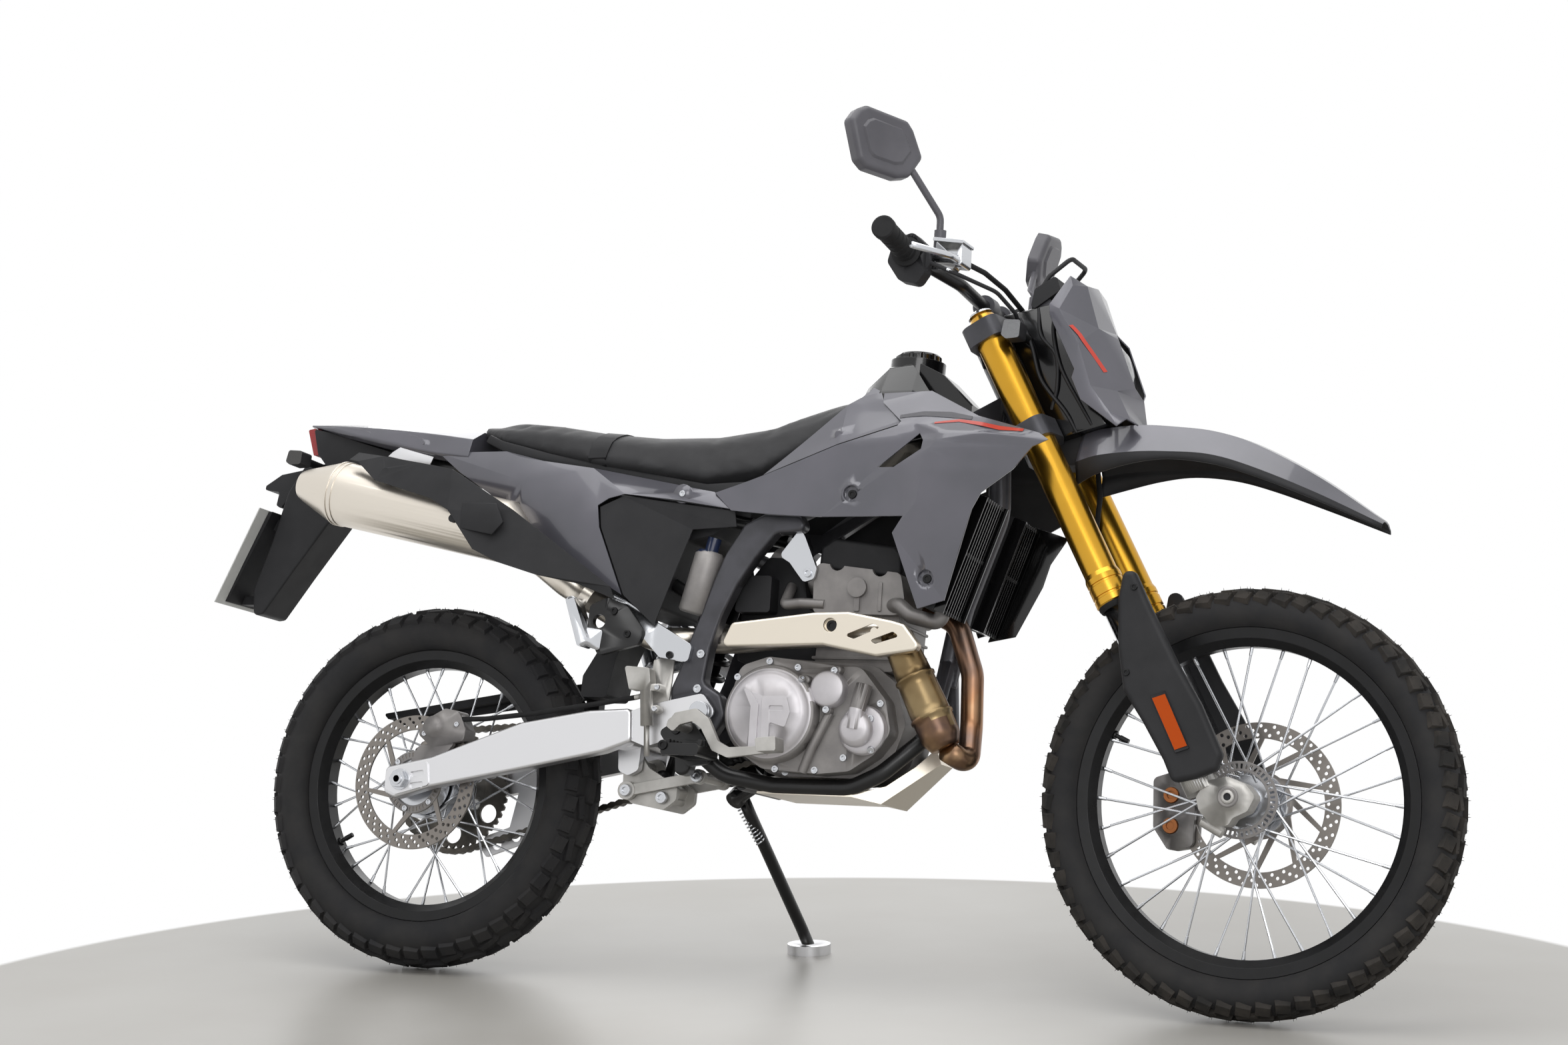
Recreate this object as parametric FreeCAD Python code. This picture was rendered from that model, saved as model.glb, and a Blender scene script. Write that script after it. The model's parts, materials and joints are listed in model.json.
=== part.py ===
import FreeCAD, Part
import math
import os

# A dual sport motorcycle, leaning on its side stand. All sizes are in millimetres.
# It is modelled upright: the origin is on the ground under the rear axle, +X points forward,
# +Y to the rider's left and +Z up. park() then turns the bars, leans it and sets it on the ground.

Vec = FreeCAD.Vector

# Layout of the whole machine
WHEELBASE = 1490.0
RAKE_DEG = 27.5
TRAIL = 109.0
LEAN_DEG = 12.0
BAR_TURN_DEG = -3.18
RUNNING = 0.05
SEAT_GAP = 0.3
BODY_GAP = 6.0

# Wheels and tyres
FRONT_TYRE_R = 347.5
FRONT_TYRE_HALF = 42.0
FRONT_RIM_R = 280.5
FRONT_RIM_HALF = 26.0
REAR_TYRE_R = 326.5
REAR_TYRE_HALF = 60.0
REAR_RIM_R = 244.5
REAR_RIM_HALF = 35.0
RIM_WALL = 4.0
RIM_DEPTH = 30.0
BEAD_DEPTH = 13.0
LUG_HEIGHT = 8.0
FRONT_LUGS = 26
REAR_LUGS = 22
SPOKE_R = 2.0
SPOKES = 32
HUB_FLANGE_T = 5.0
FRONT_HUB_R = 24.0
FRONT_FLANGE_R = 42.0
FRONT_FLANGE_Y = 32.0
REAR_HUB_R = 32.0
REAR_FLANGE_R = 62.0
REAR_FLANGE_Y = 38.0
FRONT_AXLE_R = 11.0
REAR_AXLE_R = 10.0
AXLE_BORE_R = 6.0

# Brakes
FRONT_DISC_R = 135.0
FRONT_DISC_Y = 64.0
REAR_DISC_R = 120.0
REAR_DISC_Y = -76.0
DISC_T = 4.0
DISC_BAND = 26.0
DISC_HOLE_R = 42.0
DISC_HOLES = 36
DISC_PIN_R = 3.2

# Final drive
CHAIN_Y = 84.0
CHAIN_PITCH = 15.875
REAR_TEETH = 44
FRONT_TEETH = 15
SPROCKET_T = 6.0
PLATE_HEIGHT = 12.0
CHAIN_WIDTH = 17.0
ROLLER_R = 5.0
COUNTERSHAFT_X = 652.0
COUNTERSHAFT_Z = 455.0

# Swingarm and suspension
PIVOT_X = 570.0
PIVOT_Z = 460.0
PIVOT_R = 10.0
ARM_IN = 97.0
ARM_OUT = 124.0
ARM_EDGE_R = 6.0
RESERVOIR_Y = -100.0

# Steering
HEAD_TUBE_R = 31.0
HEAD_BOTTOM = 708.0
HEAD_TOP = 868.0
STEM_R = 14.0
HEAD_BORE_R = 22.0
CLAMP_T = 36.0
FORK_Y = 100.0
FORK_LEAD = 26.0
OUTER_TUBE_R = 28.0
INNER_TUBE_R = 23.0
OUTER_BOTTOM = 368.0
OUTER_TOP = 912.0
INNER_BOTTOM = 60.0

# Engine
CASE_HALF = 78.0
COVER_Y = 122.0
CLUTCH_X = 707.0
CLUTCH_Z = 457.0
CLUTCH_R = 82.0
CLUTCH_FACE = 162.0
FILTER_X = 806.0
FILTER_Z = 501.0
FILTER_R = 31.0
PUMP_X = 868.0
PUMP_Z = 435.0
PUMP_R = 42.0
MAGNETO_X = 795.0
MAGNETO_Z = 438.0
MAGNETO_R = 72.0

# Exhaust
PIPE_R = 19.0
CATALYST_R = 34.0
MUFFLER_R = 58.0
MUFFLER_Y = -150.0
MUFFLER_SIDE_Y = 186.0
GUARD_WALL = 3.0

# Frame
TUBE_R = 14.0
CRADLE_Y = 86.0
SPAR_IN = 84.0
SPAR_OUT = 112.0
SPAR_EDGE_R = 6.0
RAIL_Y = 78.0

# Bodywork
PANEL_WALL = 3.0
FORK_SWEEP_R = 140.0
TANK_NOSE_HALF = 44.0
WELL_R = 14.0
WELL_DEPTH = 10.0
CAP_R = 40.0
AIRBOX_HALF = 100.0
RADIATOR_FOOT = Vec(958, 0, 644)
RADIATOR_TOP = Vec(1025, 0, 838)
MIRROR_TURN_DEG = 37.0
PEG_START = 132.0
PEG_END = 216.0

# Hoses and cables
HOSE_R = 4.5
CABLE_R = 3.5

# Side stand
STAND_PIVOT = Vec(552, 122, 344)
STAND_AXIS = Vec(0.24, 0.674, 0.699).normalize()
STAND_PIN_R = 6.0
STAND_EYE_R = 17.0
STAND_EYE_HALF = 9.0
STAND_FOOT_X = 606.0
STAND_FOOT_Y = 366.0
STAND_TUBE_R = 11.0
FOOT_R = 40.0
FOOT_T = 18.0

# Ranges of the joints from the parked place, in degrees
STEER_RANGE = (-42.0, 48.0)
STAND_RANGE = (0.0, 96.0)

X = Vec(1, 0, 0)
Y = Vec(0, 1, 0)
Z = Vec(0, 0, 1)
RAKE = math.radians(RAKE_DEG)
UP_STEM = Vec(-math.sin(RAKE), 0, math.cos(RAKE))
AHEAD = Vec(math.cos(RAKE), 0, math.sin(RAKE))
AXLE_LEAD = FRONT_TYRE_R * math.sin(RAKE) - TRAIL * math.cos(RAKE)
FRONT_AXLE = Vec(WHEELBASE, 0, FRONT_TYRE_R)
REAR_AXLE = Vec(0, 0, REAR_TYRE_R)
STEM_FOOT = FRONT_AXLE - AHEAD * AXLE_LEAD
CHAIN_REAR_R = CHAIN_PITCH / 2 / math.sin(math.pi / REAR_TEETH)
CHAIN_FRONT_R = CHAIN_PITCH / 2 / math.sin(math.pi / FRONT_TEETH)


# Shapes that the whole machine is made from

def both_sides(shape):
    """The shape and its mirror image on the other side of the machine."""
    return [shape, shape.mirror(Vec(0, 0, 0), Y)]


def fused(first, *others):
    """One solid made of all the pieces."""
    joined = first.multiFuse(list(others))
    return joined.removeSplitter()


def rounded_wire(corners, radius, closed=True):
    """A wire through the corners, each turned by an arc, which is smaller where its sides are short."""
    count = len(corners)
    inner = range(count) if closed else range(1, count - 1)
    stops = {}
    for i in inner:
        corner = corners[i]
        back = corners[i - 1] - corner
        ahead = corners[(i + 1) % count] - corner
        half_turn = back.getAngle(ahead) / 2
        longest = 0.46 * min(back.Length, ahead.Length)
        run = min(radius / math.tan(half_turn), longest) if half_turn < 1.56 else 0
        if run < 0.05:
            continue
        back.normalize()
        ahead.normalize()
        middle = (back + ahead).normalize()
        arc_r = run * math.tan(half_turn)
        centre = corner + middle * (arc_r / math.sin(half_turn))
        stops[i] = (corner + back * run, centre - middle * arc_r, corner + ahead * run)
    edges = []
    for i in range(count if closed else count - 1):
        j = (i + 1) % count
        start = stops[i][2] if i in stops else corners[i]
        end = stops[j][0] if j in stops else corners[j]
        if (end - start).Length > 1e-4:
            edges.append(Part.LineSegment(start, end).toShape())
        if j in stops and (closed or j < count - 1):
            edges.append(Part.Arc(*stops[j]).toShape())
    return Part.Wire(edges)


def plate(outline, y0, y1, radius=0.0):
    """A flat piece: an outline of (x, z) points seen from the side, between two widths."""
    wire = rounded_wire([Vec(x, y0, z) for x, z in outline], radius)
    return Part.Face(wire).extrude(Vec(0, y1 - y0, 0))


def rod(start, end, radius):
    """A round bar between two points."""
    along = end - start
    return Part.makeCylinder(radius, along.Length, start, along)


def ring(start, end, radius, bore):
    """A round tube between two points."""
    return rod(start, end, radius).cut(rod(start, end, bore))


def tube(corners, radius, bend):
    """A bent round bar: straight runs joined by arcs."""
    path = rounded_wire([Vec(*c) for c in corners], bend, closed=False)
    start = Vec(*corners[0])
    circle = Part.Wire(Part.makeCircle(radius, start, Vec(*corners[1]) - start))
    return path.makePipeShell([circle], True, False)


def turned(profile, base, axis=Y):
    """A solid of revolution; the profile lists distances along the axis with radii."""
    points = [Vec(along, radius, 0) for along, radius in profile]
    face = Part.Face(Part.makePolygon(points + points[:1]))
    solid = face.revolve(Vec(0, 0, 0), X, 360)
    solid.Placement = FreeCAD.Placement(base, FreeCAD.Rotation(X, axis))
    return solid


def lofted(wires, ruled=False):
    """A solid whose skin runs through the wires."""
    return Part.makeLoft(wires, True, ruled)


def section_yz(x, points, radius=0.0):
    """A closed section across the machine, from its right half's (half width, z) points upwards."""
    right = [Vec(x, -half, z) for half, z in points]
    left = [Vec(x, half, z) for half, z in reversed(points)]
    return rounded_wire(right + left, radius)


def skin(stations, wall):
    """A ruled shell on the right side; each station is x with (half width, z) points from low to high."""
    wires = []
    for x, points in stations:
        outer = [Vec(x, -half, z) for half, z in points]
        inner = [Vec(x, -(half - wall), z) for half, z in reversed(points)]
        wires.append(rounded_wire(outer + inner, 0))
    return lofted(wires, ruled=True)


def hexagon(start, end, radius):
    """A six-sided bar between two points, such as a nut."""
    along = end - start
    corners = [Vec(radius * math.cos(k * math.pi / 3), radius * math.sin(k * math.pi / 3), 0) for k in range(6)]
    bar = Part.Face(Part.makePolygon(corners + corners[:1])).extrude(Vec(0, 0, along.Length))
    bar.Placement = FreeCAD.Placement(start, FreeCAD.Rotation(Z, along))
    return bar


def faceted(corners, facets, wall):
    """A creased panel on the right side: corners are (x, half width, z), and each facet names its corners in turn."""
    outer = {name: Vec(x, -half, z) for name, (x, half, z) in corners.items()}
    inner = {name: point + Y * wall for name, point in outer.items()}
    faces = []
    rim = set()
    for facet in facets:
        names = facet.split()
        for i in range(1, len(names) - 1):
            for side in (outer, inner):
                triangle = [side[names[0]], side[names[i]], side[names[i + 1]]]
                faces.append(Part.Face(Part.makePolygon(triangle + triangle[:1])))
        for first, second in zip(names, names[1:] + names[:1]):
            if (second, first) in rim:
                rim.remove((second, first))
            else:
                rim.add((first, second))
    for first, second in sorted(rim):
        edge = [outer[first], outer[second], inner[second], inner[first]]
        faces.append(Part.Face(Part.makePolygon(edge + edge[:1])))
    solid = Part.makeSolid(Part.makeShell(faces))
    return solid if solid.Volume > 0 else solid.reversed()


def on_stem(height, lead=0.0, y=0.0):
    """A point by its distance up the steering axis, ahead of it and to the side."""
    return STEM_FOOT + UP_STEM * height + AHEAD * lead + Y * y


# Wheels

def crown_drop(y, crown_r):
    """How far the tread lies below its middle at a distance from it."""
    return crown_r - math.sqrt(crown_r * crown_r - y * y)


def lug(centre, tyre_r, crown_r, y, angle, width, length):
    """One block of the tread, square to the crown."""
    block = Part.makeBox(length, width, LUG_HEIGHT + 2, Vec(-length / 2, -width / 2, -LUG_HEIGHT - 2))
    tilt = math.degrees(math.asin(y / crown_r))
    block.rotate(Vec(0, 0, 0), X, -tilt)
    block.translate(Vec(0, y, tyre_r - crown_drop(y, crown_r)))
    block.rotate(Vec(0, 0, 0), Y, angle)
    block.translate(centre)
    return block


def tyre(centre, tyre_r, half, rim_r, rim_half, crown_r, lugs, lug_rows):
    """A tyre that fills its rim, with staggered rows of lugs fused to it."""
    base_r = tyre_r - LUG_HEIGHT
    bead_y = rim_half - RIM_WALL
    shoulder = half * 0.8
    wide_r = (base_r + rim_r) / 2
    side = [(0, base_r), (half * 0.42, base_r - crown_drop(half * 0.42, crown_r)),
            (shoulder, base_r - crown_drop(shoulder, crown_r)), (half, wide_r),
            (half * 0.9, rim_r + 14), (rim_half, rim_r + SEAT_GAP), (bead_y, rim_r + SEAT_GAP),
            (bead_y, rim_r - BEAD_DEPTH)]
    profile = side + [(-y, r) for y, r in reversed(side[1:])]
    body = turned(profile, centre)
    blocks = []
    step = 360.0 / lugs
    for i in range(lugs):
        for y, shift, width, length in lug_rows:
            blocks.append(lug(centre, tyre_r, crown_r, y, (i + shift) * step, width, length))
    return body.multiFuse(blocks)


def rim(centre, rim_r, rim_half):
    """A spoked wheel's rim: a channel for the tyre with a deep middle."""
    seat_r = rim_r - BEAD_DEPTH
    side = [(rim_half - RIM_WALL, seat_r), (rim_half - RIM_WALL, rim_r), (rim_half, rim_r),
            (rim_half - 3, seat_r - 4), (rim_half * 0.45, rim_r - RIM_DEPTH)]
    profile = side + [(-y, r) for y, r in reversed(side)]
    return turned(profile, centre)


def spokes(centre, flange_r, flange_y, rim_r, rim_half):
    """Crossed spokes from both hub flanges to the rim, as thin six-sided bars."""
    bars = []
    step = 360.0 / SPOKES
    for i in range(SPOKES):
        side = 1 if i % 2 else -1
        cross = 1 if (i // 2) % 2 else -1
        inner_y = side * (flange_y + cross * (HUB_FLANGE_T / 2 + SPOKE_R * 0.5))
        rim_angle = math.radians(i * step)
        hub_angle = rim_angle + cross * math.radians(58)
        hub_r = flange_r - 5
        rim_in = rim_r - RIM_DEPTH - SEAT_GAP
        start = Vec(hub_r * math.sin(hub_angle), inner_y, hub_r * math.cos(hub_angle))
        end = Vec(rim_in * math.sin(rim_angle), side * rim_half * 0.2, rim_in * math.cos(rim_angle))
        along = end - start
        corners = [Vec(SPOKE_R * math.cos(k * math.pi / 3), SPOKE_R * math.sin(k * math.pi / 3), 0)
                   for k in range(6)]
        bar = Part.Face(Part.makePolygon(corners + corners[:1])).extrude(Vec(0, 0, along.Length))
        bar.Placement = FreeCAD.Placement(centre + start, FreeCAD.Rotation(Z, along))
        bars.append(bar)
    return bars


def hub(centre, barrel_r, flange_r, flange_y, left, right, bore):
    """A hub with two spoke flanges; left and right are (width, radius) bosses beyond them."""
    half_t = HUB_FLANGE_T / 2
    profile = [(right[0], bore), (right[0], right[1]), (-flange_y - half_t - 6, right[1]),
               (-flange_y - half_t - 5, barrel_r), (-flange_y - half_t, barrel_r),
               (-flange_y - half_t, flange_r), (-flange_y + half_t, flange_r),
               (-flange_y + half_t, barrel_r), (flange_y - half_t, barrel_r),
               (flange_y - half_t, flange_r), (flange_y + half_t, flange_r),
               (flange_y + half_t, barrel_r), (flange_y + half_t + 5, barrel_r),
               (flange_y + half_t + 6, left[1]), (left[0], left[1]), (left[0], bore)]
    return turned(profile, centre)


def disc_holes(centre, radius, y):
    """Three staggered rings of small eight-sided holes through a disc's band."""
    holes = []
    for row in range(3):
        ring_r = radius - 5.5 - row * (DISC_BAND - 11) / 2
        for i in range(DISC_HOLES):
            angle = (i + row * 0.37) * 2 * math.pi / DISC_HOLES
            corners = []
            for k in range(8):
                turn = k * math.pi / 4
                corners.append(Vec(ring_r * math.sin(angle) + DISC_PIN_R * math.cos(turn), y - DISC_T,
                                   ring_r * math.cos(angle) + DISC_PIN_R * math.sin(turn)) + centre)
            holes.append(Part.Face(Part.makePolygon(corners + corners[:1])).extrude(Y * 2 * DISC_T))
    return Part.makeCompound(holes)


def disc(centre, radius, y, arms, sweep):
    """A brake disc: a drilled band carried on slanting arms by a ring that is bolted to the hub."""
    low = centre + Y * (y - DISC_T / 2)
    high = centre + Y * (y + DISC_T / 2)
    band = ring(low, high, radius, radius - DISC_BAND).cut(disc_holes(centre, radius, y))
    carrier = ring(low, high, DISC_HOLE_R + 14, DISC_HOLE_R)
    inner_r = DISC_HOLE_R + 8
    outer_r = radius - DISC_BAND + 2
    bars = []
    for i in range(arms):
        start = Vec(inner_r * math.sin(0), y - DISC_T / 2, inner_r * math.cos(0))
        turn = math.radians(sweep)
        end = Vec(outer_r * math.sin(turn), y - DISC_T / 2, outer_r * math.cos(turn))
        along = (end - start).normalize()
        across = along.cross(Y) * 5
        bar = Part.Face(Part.makePolygon([start + across, end + across * 0.7, end - across * 0.7, start - across,
                                          start + across])).extrude(Y * DISC_T)
        bar.rotate(Vec(0, 0, 0), Y, i * 360.0 / arms)
        bar.translate(centre)
        bars.append(bar)
    return fused(band, carrier, *bars)


def rear_sprocket():
    """The driven sprocket, whose teeth stop just inside the rollers of the chain."""
    tip_r = CHAIN_REAR_R - ROLLER_R - 1
    points = []
    for i in range(REAR_TEETH):
        for shift, radius in ((-0.2, tip_r), (0.2, tip_r), (0.5, tip_r - 6)):
            angle = (i + shift) * 2 * math.pi / REAR_TEETH
            points.append((radius * math.sin(angle), REAR_TYRE_R + radius * math.cos(angle)))
    body = plate(points, CHAIN_Y - SPROCKET_T / 2, CHAIN_Y + SPROCKET_T / 2)
    windows = []
    for i in range(6):
        hole = Part.makeCylinder(17, SPROCKET_T, Vec(0, CHAIN_Y - SPROCKET_T / 2, 80), Y)
        hole.rotate(Vec(0, 0, 0), Y, i * 60)
        hole.translate(REAR_AXLE)
        windows.append(hole)
    centre = rod(REAR_AXLE + Y * (CHAIN_Y - SPROCKET_T), REAR_AXLE + Y * (CHAIN_Y + SPROCKET_T), DISC_HOLE_R)
    return body.cut(Part.makeCompound(windows + [centre]))


def rear_wheel():
    bore = REAR_AXLE_R + RUNNING
    boss_left = (CHAIN_Y - SPROCKET_T / 2, 60)
    boss_right = (REAR_DISC_Y + DISC_T / 2, 56)
    rows = [(0, 0, 30, 26), (32, 0.5, 22, 30), (-32, 0.5, 22, 30), (50, 0, 16, 24), (-50, 0, 16, 24)]
    body = hub(REAR_AXLE, REAR_HUB_R, REAR_FLANGE_R, REAR_FLANGE_Y, boss_left, boss_right, bore)
    wires = spokes(REAR_AXLE, REAR_FLANGE_R, REAR_FLANGE_Y, REAR_RIM_R, REAR_RIM_HALF)
    return {
        "rear_tyre": tyre(REAR_AXLE, REAR_TYRE_R, REAR_TYRE_HALF, REAR_RIM_R, REAR_RIM_HALF, 78, REAR_LUGS, rows),
        "rear_rim": rim(REAR_AXLE, REAR_RIM_R, REAR_RIM_HALF),
        "rear_hub_and_spokes": body.multiFuse(wires),
        "rear_disc": disc(REAR_AXLE, REAR_DISC_R, REAR_DISC_Y, 6, 20),
        "rear_sprocket": rear_sprocket(),
    }


def front_wheel():
    bore = FRONT_AXLE_R + RUNNING
    boss_left = (FRONT_DISC_Y - DISC_T / 2, 52)
    boss_right = (-56, 26)
    rows = [(0, 0, 24, 24), (26, 0.5, 18, 26), (-26, 0.5, 18, 26)]
    body = hub(FRONT_AXLE, FRONT_HUB_R, FRONT_FLANGE_R, FRONT_FLANGE_Y, boss_left, boss_right, bore)
    wires = spokes(FRONT_AXLE, FRONT_FLANGE_R, FRONT_FLANGE_Y, FRONT_RIM_R, FRONT_RIM_HALF)
    return {
        "front_tyre": tyre(FRONT_AXLE, FRONT_TYRE_R, FRONT_TYRE_HALF, FRONT_RIM_R, FRONT_RIM_HALF, 56,
                           FRONT_LUGS, rows),
        "front_rim": rim(FRONT_AXLE, FRONT_RIM_R, FRONT_RIM_HALF),
        "front_hub_and_spokes": body.multiFuse(wires),
        "front_disc": disc(FRONT_AXLE, FRONT_DISC_R, FRONT_DISC_Y, 10, 38),
    }


# Final drive and rear suspension

def chain_path(offset):
    """The chain's outline round both sprockets, swelling at every pin, at a distance outside its pitch line."""
    rear_r = CHAIN_REAR_R + offset
    front_r = CHAIN_FRONT_R + offset
    span = Vec(COUNTERSHAFT_X, 0, COUNTERSHAFT_Z - REAR_TYRE_R)
    slope = math.atan2(span.z, span.x)
    lean = math.acos((rear_r - front_r) / span.Length)
    top = slope + lean
    low = slope - lean

    def at(centre_x, centre_z, radius, angle):
        return Vec(centre_x + radius * math.cos(angle), CHAIN_Y, centre_z + radius * math.sin(angle))

    rear_top = at(0, REAR_TYRE_R, rear_r, top)
    rear_back = at(0, REAR_TYRE_R, rear_r, slope + math.pi)
    rear_low = at(0, REAR_TYRE_R, rear_r, low)
    front_top = at(COUNTERSHAFT_X, COUNTERSHAFT_Z, front_r, top)
    front_nose = at(COUNTERSHAFT_X, COUNTERSHAFT_Z, front_r, slope)
    front_low = at(COUNTERSHAFT_X, COUNTERSHAFT_Z, front_r, low)
    return Part.Wire([Part.Arc(rear_low, rear_back, rear_top).toShape(),
                      Part.LineSegment(rear_top, front_top).toShape(),
                      Part.Arc(front_top, front_nose, front_low).toShape(),
                      Part.LineSegment(front_low, rear_low).toShape()])


def scalloped(side):
    """One edge of the chain plates: side is 1 outside and -1 inside the pitch line."""
    line = chain_path(0)
    links = round(line.Length / CHAIN_PITCH)
    steps = line.discretize(Number=links * 4 + 1)
    points = []
    for i, point in enumerate(steps[:-1]):
        back = steps[i - 1] if i else steps[-2]
        along = (steps[i + 1] - back).normalize()
        outward = Y.cross(along)
        reach = (PLATE_HEIGHT / 2, PLATE_HEIGHT / 2 - 1.0, PLATE_HEIGHT / 2 - 2.5, PLATE_HEIGHT / 2 - 1.0)[i % 4]
        points.append(point + outward * side * reach)
    return points


def chain():
    """The chain as one loop: two rows of waisted plates with the rollers between them."""
    edges = []
    for side in (1, -1):
        corners = scalloped(side)
        edges.append(Part.Face(Part.makePolygon(corners + corners[:1])).extrude(Y * CHAIN_WIDTH))
    edges.sort(key=lambda solid: solid.Volume)
    loop = edges[1].cut(edges[0])
    loop.translate(Y * (-CHAIN_WIDTH / 2))
    return loop


def chain_guard():
    """The guard over the top run of the chain, on a tab that stands on the swingarm."""
    cover = plate([(-162, 464), (-152, 454), (110, 496), (300, 524), (300, 534), (92, 508)], CHAIN_Y - 14, CHAIN_Y + 16, 3)
    lip = plate([(-158, 456), (-150, 444), (112, 482), (300, 508), (300, 526), (92, 500)], CHAIN_Y + 13, CHAIN_Y + 16)
    tab = Part.makeBox(26, 24, 94, Vec(244, CHAIN_Y + 13, 436))
    return fused(cover, lip, tab)


def front_sprocket():
    centre = Vec(COUNTERSHAFT_X, CHAIN_Y, COUNTERSHAFT_Z)
    tip_r = CHAIN_FRONT_R - ROLLER_R - 1 - SEAT_GAP
    wheel = rod(centre - Y * SPROCKET_T / 2, centre + Y * SPROCKET_T / 2, tip_r)
    shaft = rod(Vec(COUNTERSHAFT_X, CASE_HALF, COUNTERSHAFT_Z), centre + Y * 8, 12)
    return fused(wheel, shaft)


def swing_arm(side):
    """One arm of the swingarm: a deep tapered box with rounded edges and a thicker axle end."""
    z = REAR_TYRE_R
    outline = [(-34, z - 24), (-34, z + 22), (56, z + 42), (230, 434), (360, 458), (440, 463), (444, 406),
               (390, 386), (236, 352), (56, z - 12), (-12, z - 33)]
    box = plate(outline, side * ARM_IN, side * ARM_OUT, 10)
    outer = [edge for edge in box.Edges if abs(edge.CenterOfMass.y - side * ARM_OUT) < 0.01]
    box = box.makeFillet(ARM_EDGE_R, outer)
    root = plate([(430, 412), (430, 456), (470, 470), (PIVOT_X, PIVOT_Z + 32), (PIVOT_X + 26, PIVOT_Z),
                  (PIVOT_X, PIVOT_Z - 30), (470, 398)], side * (ARM_IN - 2), side * (ARM_OUT - 6), 12)
    end = plate([(-30, z - 18), (-30, z + 16), (52, z + 34), (58, z - 8), (-8, z - 27)],
                side * (ARM_OUT - 2), side * (ARM_OUT + 3), 6)
    slots = [plate([(20, z + dz), (20, z + dz + 10), (46, z + dz + 14), (46, z + dz + 4)],
                   side * (ARM_OUT - 1), side * (ARM_OUT + 4), 3) for dz in (4, -16)]
    return fused(box, root, end).cut(Part.makeCompound(slots))


def chain_guide():
    """The plate under the left arm that keeps the lower run of the chain in line."""
    outline = [(52, 224), (66, 208), (142, 236), (153, 266), (160, 345), (124, 338), (109, 264), (60, 246)]
    sheet = plate(outline, CHAIN_Y + 11, CHAIN_Y + 17, 4)
    windows = [rod(Vec(x, CHAIN_Y, z), Vec(x, CHAIN_Y + 20, z), 9) for x, z in ((86, 231), (124, 247))]
    foot = plate([(124, 320), (124, 352), (160, 360), (160, 326)], CHAIN_Y + 11, ARM_IN + 6)
    return fused(sheet, foot).cut(Part.makeCompound(windows))


def swingarm():
    """Both arms, the cross beam ahead of the tyre, the lugs of the linkage and the chain guide."""
    beam = plate([(392, 394), (392, 455), (440, 462), (440, 400)], -ARM_IN, ARM_IN, 12)
    lugs = [plate([(392, 420), (396, 360), (415, 352), (434, 362), (438, 420)], y0, y0 + 16, 10) for y0 in (-64, 48)]
    pivot = Vec(PIVOT_X, 0, PIVOT_Z)
    body = fused(swing_arm(1), swing_arm(-1), beam, chain_guide(), *lugs)
    body = body.cut(rod(pivot - Y * 200, pivot + Y * 200, PIVOT_R))
    axle_hole = rod(REAR_AXLE - Y * 200, REAR_AXLE + Y * 200, REAR_AXLE_R)
    return body.cut(axle_hole)


def rear_axle():
    """The rear axle with its nut, its collars and the bore through it."""
    end = ARM_OUT + 17
    shaft = rod(REAR_AXLE - Y * end, REAR_AXLE + Y * end, REAR_AXLE_R)
    pieces = [shaft]
    for side, inner in ((1, CHAIN_Y + SPROCKET_T / 2), (-1, -REAR_DISC_Y + DISC_T / 2)):
        pieces.append(rod(REAR_AXLE + Y * side * (inner + SEAT_GAP), REAR_AXLE + Y * side * ARM_IN, 17))
        pieces.append(rod(REAR_AXLE + Y * side * (ARM_OUT + 3), REAR_AXLE + Y * side * (ARM_OUT + 5), 19))
        pieces.append(hexagon(REAR_AXLE + Y * side * (ARM_OUT + 5), REAR_AXLE + Y * side * (ARM_OUT + 15), 16))
    bore = rod(REAR_AXLE - Y * end, REAR_AXLE + Y * end, AXLE_BORE_R)
    return fused(*pieces).cut(bore)


def suspension_linkage():
    """The cast rocker under the swingarm and the two pull rods that tie it to the frame."""
    rocker = [plate([(396, 384), (428, 392), (446, 368), (502, 338), (501, 314), (478, 296), (416, 306), (398, 322)],
                    y0, y0 + 10, 10) for y0 in (-44, 34)]
    web = plate([(420, 350), (446, 366), (490, 336), (478, 310), (430, 318)], -34, 34, 8)
    rods = []
    for side in (1, -1):
        bar = plate([(405, 316), (400, 334), (545, 364), (550, 346)], side * 48, side * 56, 6)
        eyes = [rod(Vec(x, side * 46, z), Vec(x, side * 58, z), r) for x, z, r in ((411, 327, 16), (545, 355, 13))]
        rods.append(fused(bar, *eyes))
    pins = [rod(Vec(x, -half, z), Vec(x, half, z), r) for x, half, z, r in
            ((411, 60, 327, 8), (545, 62, 355, 8), (415, 62, 374, 9), (476, 50, 317, 8))]
    return fused(*rocker, web, *rods, *pins)


def rear_shock():
    foot = Vec(462, 0, 352)
    top = Vec(575, 0, 742)
    along = (top - foot).normalize()
    body = rod(foot + along * 150, foot + along * 340, 26)
    shaft = rod(foot, foot + along * 160, 9)
    eye = rod(foot - Y * 22, foot + Y * 22, 15)
    crown = rod(top - Y * 22, top + Y * 22, 16)
    neck = rod(foot + along * 330, top, 14)
    perch = rod(foot + along * 60, foot + along * 69.2, 40)
    collar = rod(foot + along * 280, foot + along * 292, 40)
    can_low = Vec(532, RESERVOIR_Y, 632)
    can_top = Vec(560, RESERVOIR_Y, 744)
    can = turned([(0, 0), (0, 22), (4, 26), (104, 26), (112, 20), (114, 0)], can_low, can_top - can_low)
    cap = rod(can_top - Vec(2, 0, 8), can_top + Vec(5, 0, 20), 12)
    bridge = rod(Vec(556, RESERVOIR_Y, 716), foot + along * 330, 12)
    return fused(body, shaft, eye, crown, neck, perch, collar, can, cap, bridge)


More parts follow.
